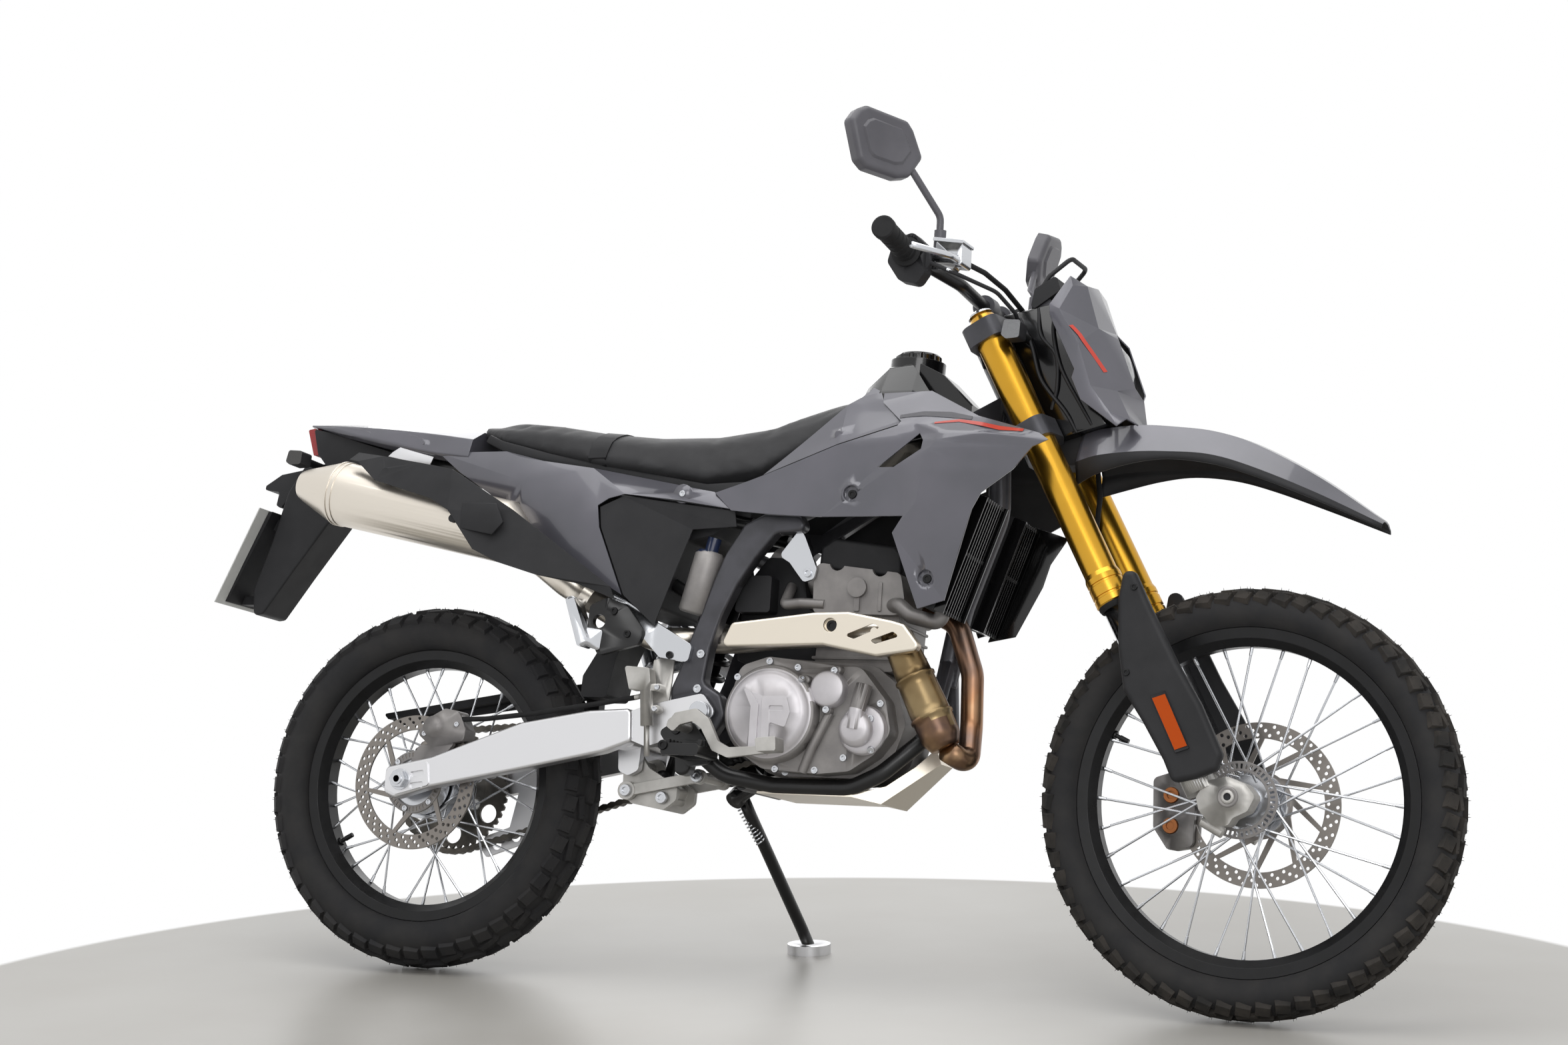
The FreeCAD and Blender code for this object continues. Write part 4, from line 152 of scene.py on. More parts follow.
def finish(name, colour, metal=0.0, rough=0.5, coat=0.0, coat_rough=0.05, shine=0.5):
    """A new material with its plain values set on the shader."""
    material = bpy.data.materials.new(name)
    material.use_nodes = True
    with_inputs(parts_of(material)[2], Base_Color=shade(*colour), Metallic=metal, Roughness=rough,
                Coat_Weight=coat, Coat_Roughness=coat_rough, Specular_IOR_Level=shine)
    materials[name] = material
    return material


def noise_on(material, scale, detail=3.0, stretch=(1, 1, 1)):
    """Noise that follows the object; scale counts features to the metre."""
    nodes, links, _ = parts_of(material)
    place = nodes.new("ShaderNodeTexCoord")
    mapping = with_inputs(nodes.new("ShaderNodeMapping"), Scale=stretch)
    noise = with_inputs(nodes.new("ShaderNodeTexNoise"), Scale=scale, Detail=detail)
    links.new(place.outputs["Object"], mapping.inputs["Vector"])
    links.new(mapping.outputs["Vector"], noise.inputs["Vector"])
    return noise.outputs["Fac"]


def grain(material, scale, strength, depth=0.0004, stretch=(1, 1, 1), detail=3.0, edge=0.0):
    """Fine relief in the surface; edge is how far sharp edges are rounded for the light, in metres."""
    nodes, links, shader = parts_of(material)
    bump = with_inputs(nodes.new("ShaderNodeBump"), Strength=strength, Distance=depth)
    links.new(noise_on(material, scale, detail, stretch), bump.inputs["Height"])
    if edge:
        soft = with_inputs(nodes.new("ShaderNodeBevel"), Radius=edge)
        soft.samples = 4
        links.new(soft.outputs["Normal"], bump.inputs["Normal"])
    links.new(bump.outputs["Normal"], shader.inputs["Normal"])


def drift(material, colour_a, colour_b, scale, detail=4.0, low=0.35, high=0.65):
    """The base colour wanders between two colours."""
    nodes, links, shader = parts_of(material)
    ramp = nodes.new("ShaderNodeValToRGB")
    for index, place, colour in ((0, low, colour_a), (1, high, colour_b)):
        ramp.color_ramp.elements[index].position = place
        ramp.color_ramp.elements[index].color = shade(*colour)
    links.new(noise_on(material, scale, detail), ramp.inputs["Fac"])
    links.new(ramp.outputs["Color"], shader.inputs["Base Color"])
    return ramp


def uneven_gloss(material, low, high, scale, stretch=(1, 1, 1)):
    """The roughness wanders between two values, as wear and handling leave it."""
    nodes, links, shader = parts_of(material)
    spread = with_inputs(nodes.new("ShaderNodeMapRange"), To_Min=low, To_Max=high)
    links.new(noise_on(material, scale, 4.0, stretch), spread.inputs["Value"])
    links.new(spread.outputs["Result"], shader.inputs["Roughness"])


def moulded(name, colour, tones=None, gloss=None, relief=None, **plain):
    """A finish that wanders: tones are two colours and a size, relief is a size, a strength and an edge."""
    material = finish(name, colour, **plain)
    if tones:
        drift(material, *tones)
    if gloss:
        uneven_gloss(material, *gloss)
    if relief:
        grain(material, relief[0], relief[1], edge=relief[2])
    return material


print("helpers for finishes ready")


# %% [markdown]
# The painted panels are moulded plastic in a dark grey with a clear gloss over it. The black parts are
# the same plastic left matt, with the fine grain of the mould. Mirrors have a satin skin, grips a sandy
# one, and the stripes are printed film.

# %% Plastics
moulded("body_grey", (88, 87, 95), ((84, 84, 91), (92, 91, 99), 9.0), None, (2600, 0.05, 0.0012),
        metal=0.25, rough=0.3, coat=0.55)
moulded("satin_grey", (84, 83, 88), ((78, 77, 82), (90, 89, 94), 12.0), None, (1800, 0.12, 0.0015),
        rough=0.42, shine=0.4)
moulded("black_plastic", (33, 33, 35), ((29, 29, 31), (38, 38, 40), 14.0), (0.48, 0.64, 30),
        (1500, 0.35, 0.0012), rough=0.55, shine=0.3)
moulded("gloss_black", (10, 10, 11), None, (0.12, 0.22, 12), (2400, 0.04, 0.0015),
        rough=0.16, coat=0.3, coat_rough=0.04, shine=0.4)
moulded("grip_rubber", (22, 22, 23), ((18, 18, 19), (28, 28, 29), 40), None, (1800, 0.5, 0.0),
        rough=0.75, shine=0.3)
moulded("cap_blue", (30, 40, 66), None, (0.26, 0.38, 20), rough=0.3, coat=0.4)
moulded("stripe_red", (196, 50, 26), None, (0.24, 0.36, 12), rough=0.3, coat=0.5)
print("plastics", len(materials))

# %% [markdown]
# Metals differ by how they were made: drawn and brushed parts carry fine lines along their length,
# castings have a pebbled skin, and anodised parts keep the metal's shine under a tint.

# %% Metals
def make_brushed(name, colour, rough, lines=(1, 30, 30), strength=0.16):
    """Brushed metal, its lines running along the machine."""
    material = finish(name, colour, metal=1.0, rough=rough)
    uneven_gloss(material, rough - 0.07, rough + 0.09, 40, lines)
    grain(material, 60, strength, 0.0002, lines, 6.0, edge=0.0010)


def make_cast(name, colour_a, colour_b, rough, metal=0.7, scale=900.0, strength=0.45):
    """Cast metal: a pebbled skin and a blotchy tone."""
    moulded(name, colour_a, (colour_a, colour_b, 26), (rough - 0.08, rough + 0.1, 60),
            (scale, strength, 0.0012), metal=metal, rough=rough)


def make_heated(name, cool, middle, hot, size):
    """Stainless pipe that heat has tinted: three tones that run into each other."""
    material = finish(name, middle, metal=1.0, rough=0.3)
    ramp = drift(material, cool, hot, size, 3.0, 0.3, 0.7)
    ramp.color_ramp.elements.new(0.5).color = shade(*middle)
    uneven_gloss(material, 0.22, 0.42, 24)
    grain(material, 120, 0.1, 0.0002)


BRUSHED = [
    ("brushed_aluminium", (218, 218, 220), 0.36), ("champagne", (222, 214, 200), 0.34),
    ("warm_steel", (218, 211, 200), 0.34), ("disc_steel", (132, 127, 122), 0.34, (6, 6, 6), 0.06),
    ("bright_steel", (200, 202, 206), 0.22, (4, 4, 4), 0.05), ("chrome", (222, 223, 226), 0.12, (4, 4, 4), 0.03),
    ("bronze", (150, 96, 60), 0.34, (4, 4, 4), 0.04), ("mirror_glass", (206, 210, 218), 0.05, (1, 1, 1), 0.0)]
CAST = [
    ("cast_aluminium", (168, 166, 162), (190, 188, 184), 0.42),
    ("engine_grey", (126, 123, 122), (142, 139, 137), 0.44, 0.5),
    ("engine_silver", (190, 187, 190), (202, 199, 202), 0.4, 0.5, 1400.0, 0.25),
    ("frame_grey", (66, 66, 70), (76, 76, 81), 0.36, 0.45, 700.0, 0.2),
    ("black_paint", (16, 16, 17), (22, 22, 23), 0.32, 0.1, 500.0, 0.12),
    ("black_anodised", (14, 14, 15), (20, 20, 22), 0.3, 0.4, 400.0, 0.08),
    ("chain_steel", (70, 68, 64), (104, 100, 94), 0.4, 0.9),
    ("core_black", (22, 22, 25), (28, 28, 31), 0.7, 0.0, 300.0, 0.05),
    ("plate_white", (206, 207, 204), (214, 215, 212), 0.4, 0.0, 300.0, 0.05)]
HEATED = [
    ("heat_steel", (84, 68, 48), (114, 96, 68), (144, 126, 94), 9),
    ("copper_steel", (112, 98, 92), (148, 110, 82), (176, 148, 116), 8),
    ("burnt_steel", (70, 58, 58), (112, 88, 70), (168, 138, 104), 16)]
for make, rows in ((make_brushed, BRUSHED), (make_cast, CAST), (make_heated, HEATED)):
    for row in rows:
        make(*row)
moulded("gold_anodised", (200, 152, 52), ((194, 146, 46), (208, 160, 60), 5.0), (0.22, 0.3, 6, (1, 1, 0.2)),
        metal=1.0, rough=0.26)
print("metals and plastics", len(materials))

# %% [markdown]
# Rubber, cloth and lenses finish the list. The tyre is dull black with a dusty bloom, the seat cover
# is a fine-grained vinyl, and each lens is tinted plastic that lets some light through.

# %% Rubber, seat cover and lenses
def make_lens(name, colour, clear):
    """Tinted clear plastic with faint moulded ribs."""
    material = finish(name, colour, rough=0.08, coat=0.5)
    with_inputs(parts_of(material)[2], Transmission_Weight=clear)
    grain(material, 500, 0.15)


moulded("tyre_rubber", (37, 37, 39), ((32, 32, 34), (44, 43, 43), 18), None, (1100, 0.35, 0.0014),
        rough=0.78, shine=0.35)
moulded("tread_dust", (46, 44, 42), ((34, 33, 32), (62, 58, 54), 22), None, (900, 0.4, 0.0016),
        rough=0.8, shine=0.3)
vinyl = moulded("seat_cover", (34, 34, 36), ((30, 30, 32), (39, 39, 41), 30), None, (2200, 0.5, 0.0),
                rough=0.6, shine=0.35)
with_inputs(parts_of(vinyl)[2], Sheen_Weight=0.12)
make_lens("clear_lens", (226, 228, 232), 0.75)
make_lens("red_lens", (176, 16, 18), 0.35)
make_lens("smoked_lens", (60, 58, 56), 0.35)
finish("amber_lens", (184, 72, 2), rough=0.35, coat=0.05, shine=0.2)
print("all finishes", len(materials))

# %% [markdown]
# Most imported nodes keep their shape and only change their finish. The table pairs nodes with finishes;
# what isn't in it gets a dressed copy further on.

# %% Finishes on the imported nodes
WEARS = {
    "black_anodised": ["rear_rim", "front_rim"],
    "bright_steel": ["rear_hub_and_spokes", "front_hub_and_spokes", "rear_axle_and_pivot"],
    "disc_steel": ["rear_disc", "front_disc"],
    "chain_steel": ["rear_sprocket", "chain"],
    "brushed_aluminium": ["swingarm"],
    "engine_grey": ["engine_cases", "cylinder_and_head"],
    "black_plastic": ["head_cover", "inner_panels", "plate_holder", "fork_guards", "instrument", "chain_guard"],
    "black_paint": ["subframe", "shock_spring", "handlebar", "footpegs"],
    "cast_aluminium": ["suspension_linkage", "foot_controls"],
    "frame_grey": ["triple_clamps"],
    "champagne": ["heat_shield"],
    "core_black": ["radiators"],
    "gloss_black": ["fuel_tank", "fuel_cap", "radiator_guards"],
    "red_lens": ["tail_light"],
    "plate_white": ["licence_plate"],
    "gold_anodised": ["fork_outer_tubes"],
    "grip_rubber": ["grips"],
    "clear_lens": ["headlight"],
}
dressed = set()
for look, nodes in WEARS.items():
    for node in nodes:
        for slot in frame["nodes"][node].material_slots:
            slot.material = materials[look]
        dressed.add(node)
print("dressed later", sorted(set(frame["nodes"]) - dressed))

# %% [markdown]
# From here on, new pieces are built in the upright machine's millimetres and then carried to where it
# stands. These helpers store such a shape, find the point where something lands on a packed surface,
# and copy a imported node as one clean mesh, because it comes as loose triangles.

# %% Helpers for shapes
TURNING = ("steering", "front_wheel")
SIDES = ((-1, "right"), (1, "left"))
SHARP = math.radians(32)
body_of_node = {node: body for body, nodes in frame["record"]["behaviour"]["bodies"].items() for node in nodes}


def carried(body):
    """From the upright machine's millimetres to where a body stands."""
    return ON_STEERING if body in TURNING else ON_FRAME


def keep(shape, name, body, looks, rides=True):
    """Store a shape that is already in place as a piece, which rides a body unless rides is false."""
    mesh = bpy.data.meshes.new(name)
    shape.to_mesh(mesh)
    shape.free()
    mesh.polygons.foreach_set("use_smooth", [True] * len(mesh.polygons))
    mesh.set_sharp_from_angle(angle=SHARP)
    for look in looks:
        mesh.materials.append(materials[look])
    piece = new_object(name, mesh)
    if rides:
        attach(piece, body)
    return piece


def add_piece(shape, name, body, look, rides=True):
    """Carry a shape built in the machine's millimetres to its body and store it there."""
    bmesh.ops.recalc_face_normals(shape, faces=shape.faces)
    bmesh.ops.transform(shape, matrix=carried(body), verts=shape.verts)
    return keep(shape, name, body, [look], rides)


def modify(piece, kind, **settings):
    """Put a modifier with its settings on a piece."""
    modifier = piece.modifiers.new(kind.lower(), kind)
    for name, value in settings.items():
        setattr(modifier, name, value)


def thicken(shape, thick):
    """Turn a skin into a wall."""
    bmesh.ops.recalc_face_normals(shape, faces=shape.faces)
    bmesh.ops.solidify(shape, geom=shape.faces[:], thickness=thick)
    return shape


def merged_copy(node):
    """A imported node's shape as one editable mesh, with its flat areas joined again."""
    shape = bmesh.new()
    shape.from_mesh(frame["nodes"][node].data)
    bmesh.ops.remove_doubles(shape, verts=shape.verts, dist=2e-5)
    bmesh.ops.dissolve_limit(shape, angle_limit=math.radians(0.8), verts=shape.verts, edges=shape.edges)
    return shape


def skin_of(mesh, back):
    """A mesh's surface in the machine's millimetres, to land points on."""
    return BVHTree.FromPolygons([back @ v.co for v in mesh.vertices], [list(p.vertices) for p in mesh.polygons])


def surface_of(node):
    """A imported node's surface."""
    return skin_of(frame["nodes"][node].data, carried(body_of_node[node]).inverted())


def landed(surface, x, z, side=-1):
    """Where a point at (x, z) that comes in from one side meets a surface, and the way the surface faces."""
    place, facing, _, _ = surface.ray_cast(Vector((x, side * 500, z)), Vector((0, -side, 0)))
    if facing is not None and facing.y * side < 0:
        facing = -facing
    return place, facing


def pointing(direction):
    """The turn that points a shape's Z along a direction."""
    return Vector(direction).to_track_quat("Z", "Y").to_matrix().to_4x4()


def peg(shape, place, direction, length, foot_r, head_r, segments):
    """A short tapered peg with its middle at a place."""
    return bmesh.ops.create_cone(shape, cap_ends=True, segments=segments, radius1=foot_r, radius2=head_r,
                                 depth=length, matrix=Matrix.Translation(place) @ pointing(direction))["verts"]


def band(rows):
    """A strip of small faces between the two points of each row; a row that missed its surface is left out."""
    shape = bmesh.new()
    edges = [[shape.verts.new(place) for place in row] for row in rows if all(place is not None for place in row)]
    for (a, b), (c, d) in zip(edges, edges[1:]):
        shape.faces.new((a, b, d, c))
    return shape


print("nodes with a body", len(body_of_node))

# %% [markdown]
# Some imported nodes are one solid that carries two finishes, such as a plated tube in a cast foot. A copy
# takes a second finish wherever a face lies, or looks, in a given way. Where it is asked for, sharp creases
# of a moulded panel stay and a subdivision surface melts the shallow ones.

# %% Copies with more than one finish
LOW, HIGH = -9999, 9999


def painted(node, base, second=(), sharp_degrees=None):
    """A copy of a node in one finish, with others where a test on a face says so; shallow creases can melt."""
    shape = merged_copy(node)
    back = carried(body_of_node[node]).inverted()
    if second:
        bmesh.ops.triangulate(shape, faces=[face for face in shape.faces if len(face.verts) > 4])
    for face in shape.faces:
        middle = back @ face.calc_center_median()
        outward = (back.to_3x3() @ face.normal).normalized().y * (1 if middle.y > 0 else -1)
        for index, (_, inside) in enumerate(second):
            if inside(middle, outward):
                face.material_index = index + 1
    if sharp_degrees is not None:
        crease = shape.edges.layers.float.new("crease_edge")
        for edge in shape.edges:
            if len(edge.link_faces) != 2 or edge.calc_face_angle(0.0) > math.radians(sharp_degrees):
                edge[crease] = 1.0
    piece = keep(shape, "dressed_" + node, body_of_node[node], [base] + [look for look, _ in second])
    if sharp_degrees is not None:
        modify(piece, "SUBSURF", levels=2, render_levels=2, boundary_smooth="PRESERVE_CORNERS")
    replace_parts(piece, node)
    return piece


def within(x=(LOW, HIGH), aside=(LOW, HIGH), z=(LOW, HIGH), y=(LOW, HIGH)):
    """A test for what lies between two values of x, z, y, and of the distance aside from the middle."""
    def inside(middle, outward):
        spans = ((middle.x, x), (abs(middle.y), aside), (middle.z, z), (middle.y, y))
        return all(low < value < high for value, (low, high) in spans)
    return inside


def round_place(centre_x, centre_z, radius):
    """A test for what lies in a round cover on the engine's right side."""
    return lambda middle, outward: (middle.y < -COVER_FACE and
                                    (middle.x - centre_x) ** 2 + (middle.z - centre_z) ** 2 < radius ** 2)


def lining(middle, outward):
    """The inner face of a panel."""
    return outward < -0.15


def stand_foot(middle, outward):
    """The side stand's foot plate, which lies on the floor of the leaning machine."""
    return middle.y > 322 and middle.z - STAND_SLOPE * middle.y < 19.5


print("helpers ready")

# %% Moulded panels
painted("shrouds", "body_grey", [("black_plastic", lining)], 9.0)
painted("tank_panels", "body_grey", [("black_plastic", lining)], 9.0)
painted("side_panels", "body_grey", [("black_plastic", lining)])
painted("tail_cowl", "body_grey", (), 20.0)
guard = painted("muffler_guard", "black_plastic")
guard.data.set_sharp_from_angle(angle=math.radians(12))
silencer = painted("muffler", "warm_steel")
for piece, shift in ((guard, -4), (silencer, 3)):
    piece.data.transform(Matrix.Translation(ON_FRAME.to_3x3() @ Vector((0, shift, 0))))
print("panels moulded")

# %% Castings and tubes
COVER_FACE = 124
STAND_SLOPE = 0.2126
painted("fork_lower_legs", "chrome", [("cast_aluminium", within(z=(LOW, 400)))])
painted("hand_controls", "black_plastic", [
    ("bright_steel", within(x=(1022, HIGH), aside=(215, HIGH), z=(1188, HIGH))),
    ("bright_steel", within(x=(996, HIGH), y=(-250, -203), z=(1197, HIGH)))])
painted("rear_shock", "black_paint", [
    ("engine_grey", within(aside=(70, HIGH))), ("cap_blue", within(aside=(70, HIGH), z=(738, HIGH)))])
painted("front_caliper", "grip_rubber", [("engine_grey", within(x=(1312, HIGH), z=(LOW, 399)))])
painted("rear_brake", "grip_rubber", [
    ("engine_grey", within(x=(LOW, 108), z=(LOW, 462))),
    ("cast_aluminium", within(x=(430, HIGH), aside=(110, HIGH)))])
painted("passenger_pegs", "bright_steel", [("black_paint", within(x=(350, HIGH), aside=(124.5, 137)))])
painted("exhaust_header", "heat_steel", [
    ("warm_steel", within(x=(LOW, 905), z=(560, HIGH))), ("copper_steel", within(x=(920, HIGH), aside=(LOW, 104))),
    ("burnt_steel", within(aside=(104, HIGH), z=(LOW, 452)))])
painted("main_frame", "frame_grey", [
    ("bright_steel", within((684, 760), (90, 99.5), (686, 772))), ("black_paint", within(z=(LOW, 430)))])
covers = painted("engine_covers", "engine_grey", [
    ("engine_silver", round_place(*cover)) for cover in ((707, 457, 77), (806, 501, 32), (868, 435, 43))])
covers.data.set_sharp_from_angle(angle=math.radians(16))
painted("side_stand", "black_paint", [("brushed_aluminium", stand_foot)])
print("painted copies made")

# %% [markdown]
# The seat is foam under a stretched cover. Its copy is remeshed into an even skin and blown up a little
# like a cushion, with a limit on how far any point may move, so that it keeps clear of the panels.

# %% The padded seat
SEAT_VOXEL = 0.006
SEAT_SWELL = 0.006


def padded_seat():
    """The seat's foam and cover, softly crowned between its edges."""
    piece = keep(merged_copy("seat"), "seat_cushion", "chassis", ["seat_cover"])
    modify(piece, "REMESH", mode="VOXEL", voxel_size=SEAT_VOXEL)
    apply_all(piece)
    start = [vertex.co.copy() for vertex in piece.data.vertices]
    puff(piece)
    for vertex, place in zip(piece.data.vertices, start):
        move = vertex.co - place
        if move.length > SEAT_SWELL:
            vertex.co = place + move * (SEAT_SWELL / move.length)
    modify(piece, "SMOOTH", factor=0.5, iterations=4)
    modify(piece, "SUBSURF", levels=1, render_levels=1)
    apply_all(piece)
    piece.data.polygons.foreach_set("use_smooth", [True] * len(piece.data.polygons))
    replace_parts(piece, "seat")
    return piece


def apply_all(piece):
    """Turn a piece's modifiers into its mesh."""
    graph = bpy.context.evaluated_depsgraph_get()
    done = bpy.data.meshes.new_from_object(piece.evaluated_get(graph))
    old = piece.data
    piece.modifiers.clear()
    piece.data = done
    bpy.data.meshes.remove(old)


def puff(piece):
    """Blow a closed skin up with a cloth simulation."""
    cloth = piece.modifiers.new("cloth", "CLOTH")
    cloth.settings.use_pressure = True
    cloth.settings.uniform_pressure_force = 4.0
    cloth.settings.effector_weights.gravity = 0.0
    for step in range(1, 21):
        bpy.context.scene.frame_set(step)
    apply_all(piece)
    bpy.context.scene.frame_set(1)


seat = padded_seat()
print("seat cushion", len(seat.data.polygons), "faces")

# %% [markdown]
# Screws hold everything, and each is a short turned head with a socket. They are set where the
# photograph shows one, and each lands on the surface below it, whatever its height.

# %% Screws
SCREWS = {  # finish, radius and height of the head, places as (x, z)
    "engine_covers": ("bright_steel", 6.5, 5, [
        (693, 548), (745, 538), (762, 515), (817, 532), (806, 466), (884, 453), (887, 402), (836, 388),
        (786, 366), (840, 365), (715, 366), (653, 392), (896, 480), (636, 520)]),
    "main_frame": ("bright_steel", 8, 5, [(741, 704), (558, 500), (560, 560)]),
    "suspension_linkage": ("bright_steel", 11, 5, [(411, 327), (545, 355), (415, 374), (476, 317)]),
    "shrouds": ("black_anodised", 8, 3, [(832, 830), (977, 684)]),
    "side_panels": ("bright_steel", 6, 3, [(510, 838)]),
    "tank_panels": ("black_anodised", 9, 4, [(869, 1024)]),
    "rear_brake": ("bright_steel", 5, 3, [(494, 498), (492, 461), (24, 412), (88, 430)]),
    "passenger_pegs": ("black_anodised", 7, 4, [(400, 630), (428, 590), (506, 556)]),
    "fork_guards": ("black_anodised", 6, 3, [(1330, 678), (1322, 540)]),
    "footpegs": ("black_anodised", 9, 4, [(528, 428), (548, 392)]),
    "heat_shield": ("black_anodised", 10, 4, [(823, 601)]),
}


def screw(shape, place, outward, radius, height):
    """One screw: a slightly tapered head with a socket sunk into its top."""
    made = peg(shape, place + outward * (height / 2 - 0.5), outward, height, radius, radius * 0.9, 18)
    faces = {face for vertex in made for face in vertex.link_faces}
    top = max(faces, key=lambda face: face.calc_center_median().dot(outward))
    bmesh.ops.inset_individual(shape, faces=[top], thickness=radius * 0.42)
    bmesh.ops.inset_individual(shape, faces=[top], thickness=0.05)
    bmesh.ops.translate(shape, verts=top.verts, vec=-outward * height * 0.6)


def screws_on(node, look, radius, height, places):
    """The screws of both sides that land on one node."""
    surface = surface_of(node)
    shape = bmesh.new()
    count = 0
    for x, z in places:
        for side in (-1, 1):
            place, facing = landed(surface, x, z, side)
            if place is None or abs(place.y) < 30 or facing.y * side < 0.3:
                continue
            screw(shape, place, facing.normalized(), radius, height)
            count += 1
    if count:
        add_piece(shape, "screws_" + node, body_of_node[node], look)
    return count


for node, (look, radius, height, places) in SCREWS.items():
    print(node, screws_on(node, look, radius, height, places), "screws")

# %% [markdown]
# The stripes are thin printed film: a red one on each shroud, under the shade of a darker one. Each is a
# strip of small faces between two edges, every corner landed on the panel and lifted a hair above it.

# %% Stripes on the shrouds
STRIPE = ([(975, 949), (1020, 952), (1060, 943.5), (1100, 932.5), (1142, 925.5)],
          [(975, 945.5), (1020, 946.5), (1060, 936), (1100, 924), (1142, 920)])
SHADE = ([(905, 968), (950, 972), (1000, 968), (1042, 957)], [(905, 962), (950, 963), (1000, 957), (1042, 950)])
STRIPE_STEPS = 8
FILM_LIFT = 0.7


def between(points, share):
    """A point along a row of points, by its share of the row's steps."""
    place = share * (len(points) - 1)
    start = min(int(place), len(points) - 2)
    rest = place - start
    return [a + (b - a) * rest for a, b in zip(points[start], points[start + 1])]


def lifted(landing):
    """A landed point a hair above its surface, or None where nothing was met."""
    place, facing = landing
    return None if place is None else place + facing * FILM_LIFT


def stripe(side, name, edges, look):
    """A stripe on one side, between its two edges."""
    surface = surface_of("shrouds")
    steps = STRIPE_STEPS * (len(edges[0]) - 1)
    rows = [[lifted(landed(surface, *between(points, i / steps), side)) for points in edges]
            for i in range(steps + 1)]
    add_piece(band(rows), name, "chassis", look)


for side, name in SIDES:
    stripe(side, "stripe_" + name, STRIPE, "stripe_red")
    stripe(side, "shade_" + name, SHADE, "satin_grey")
print("stripes laid")

# %% [markdown]
# An amber reflector sits on each fork guard: a lens in a raised rim.

# %% Reflectors
REFLECTOR = [(1364, 503), (1387, 511), (1430, 421), (1408, 413)]


def slab(shape, corners, outward, thick):
    """A flat many-sided slab on given corners, and its outer face."""
    face = shape.faces.new([shape.verts.new(corner) for corner in corners])
    made = bmesh.ops.extrude_face_region(shape, geom=[face])["geom"]
    moved = [item for item in made if isinstance(item, bmesh.types.BMVert)]
    bmesh.ops.translate(shape, verts=moved, vec=outward * thick)
    return next(item for item in made if isinstance(item, bmesh.types.BMFace))


def reflector(side, name):
    """The reflector of one side: a rim and a lens set into it."""
    place, _ = landed(surface_of("fork_guards"), 1397, 460, side)
    outward = Vector((0, side, 0))
    corners = [Vector((x, place.y - side, z)) for x, z in REFLECTOR]
    rim = bmesh.new()
    outer = slab(rim, corners, outward, 4.5)
    bmesh.ops.inset_individual(rim, faces=[outer], thickness=1.5)
    bmesh.ops.translate(rim, verts=outer.verts, vec=-outward * 0.6)
    lens = bmesh.new()
    middle = sum(corners, Vector()) / len(corners)
    slab(lens, [middle + (corner - middle) * 0.9 for corner in corners], outward, 4.8)
    add_piece(rim, "reflector_rim_" + name, "steering", "black_plastic")
    add_piece(lens, "reflector_lens_" + name, "steering", "amber_lens")


for side, name in SIDES:
    reflector(side, name)
print("reflectors placed")

# %% [markdown]
# Each spoke screws into the rim through a nipple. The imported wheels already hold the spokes, so the flat
# ends that touch the rim are found by how far they lie from the axle, and each gets its nipple there.

# %% Spoke nipples and valves
NIPPLE_LENGTH = 0.014
NIPPLE_R = 0.0032


def spoke_ends(node, axle, axis):
    """The middle and the direction of every spoke's outer end, in metres as the machine stands."""
    mesh = frame["nodes"][node].data
    ends = {}
    out_of_axle = []
    for face in mesh.polygons:
        arm = face.center - axle
        arm -= axis * arm.dot(axis)
        out_of_axle.append((arm.length, face, arm.normalized()))
    reach = max(length for length, _, _ in out_of_axle)
    level = axis.cross(Vector((0, 0, 1))).normalized()
    for length, face, arm in out_of_axle:
        if length > reach - 0.002 and face.normal.dot(arm) > 0.6:
            turn = math.degrees(math.atan2(arm.cross(level).dot(axis), arm.dot(level)))
            ends.setdefault(round(turn / 5.625), []).append((face.center.copy(), face.normal.copy(), face.area))
    found = []
    for group in ends.values():
        area = sum(item[2] for item in group)
        place = sum((item[0] * item[2] for item in group), Vector()) / area
        found.append((place, sum((item[1] for item in group), Vector()).normalized()))
    return found


def nipples(name, node, axle, axis, body):
    """All nipples of one wheel."""
    shape = bmesh.new()
    ends = spoke_ends(node, axle, axis)
    for place, outward in ends:
        peg(shape, place - outward * NIPPLE_LENGTH / 2, outward, NIPPLE_LENGTH, NIPPLE_R * 0.8, NIPPLE_R, 10)
    keep(shape, name, body, ["bright_steel"])
    return len(ends)


def valve(name, axle, axis, rim_in, angle, body):
    """A valve stem with its cap, pointing from the rim to the axle."""
    level = axis.cross(Vector((0, 0, 1))).normalized()
    outward = Matrix.Rotation(math.radians(angle), 3, axis) @ level
    shape = bmesh.new()
    for start, end, radius in ((-0.012, 0.006, 0.004), (-0.026, -0.010, 0.0048), (-0.003, 0.0, 0.008)):
        peg(shape, axle + outward * (rim_in + (start + end) / 2), outward, end - start, radius * 0.92, radius, 14)
    keep(shape, name, body, ["black_anodised"])


print("front", nipples("front_nipples", "front_hub_and_spokes", front_axle, turned_left, "front_wheel"))
print("rear", nipples("rear_nipples", "rear_hub_and_spokes", rear_axle, left, "rear_wheel"))
valve("front_valve", front_axle, turned_left, 0.250, 204, "front_wheel")
valve("rear_valve", rear_axle, left, 0.214, 150, "rear_wheel")

# %% [markdown]
# The side stand is held up or down by a coil spring between two pins, spun from one small ring.

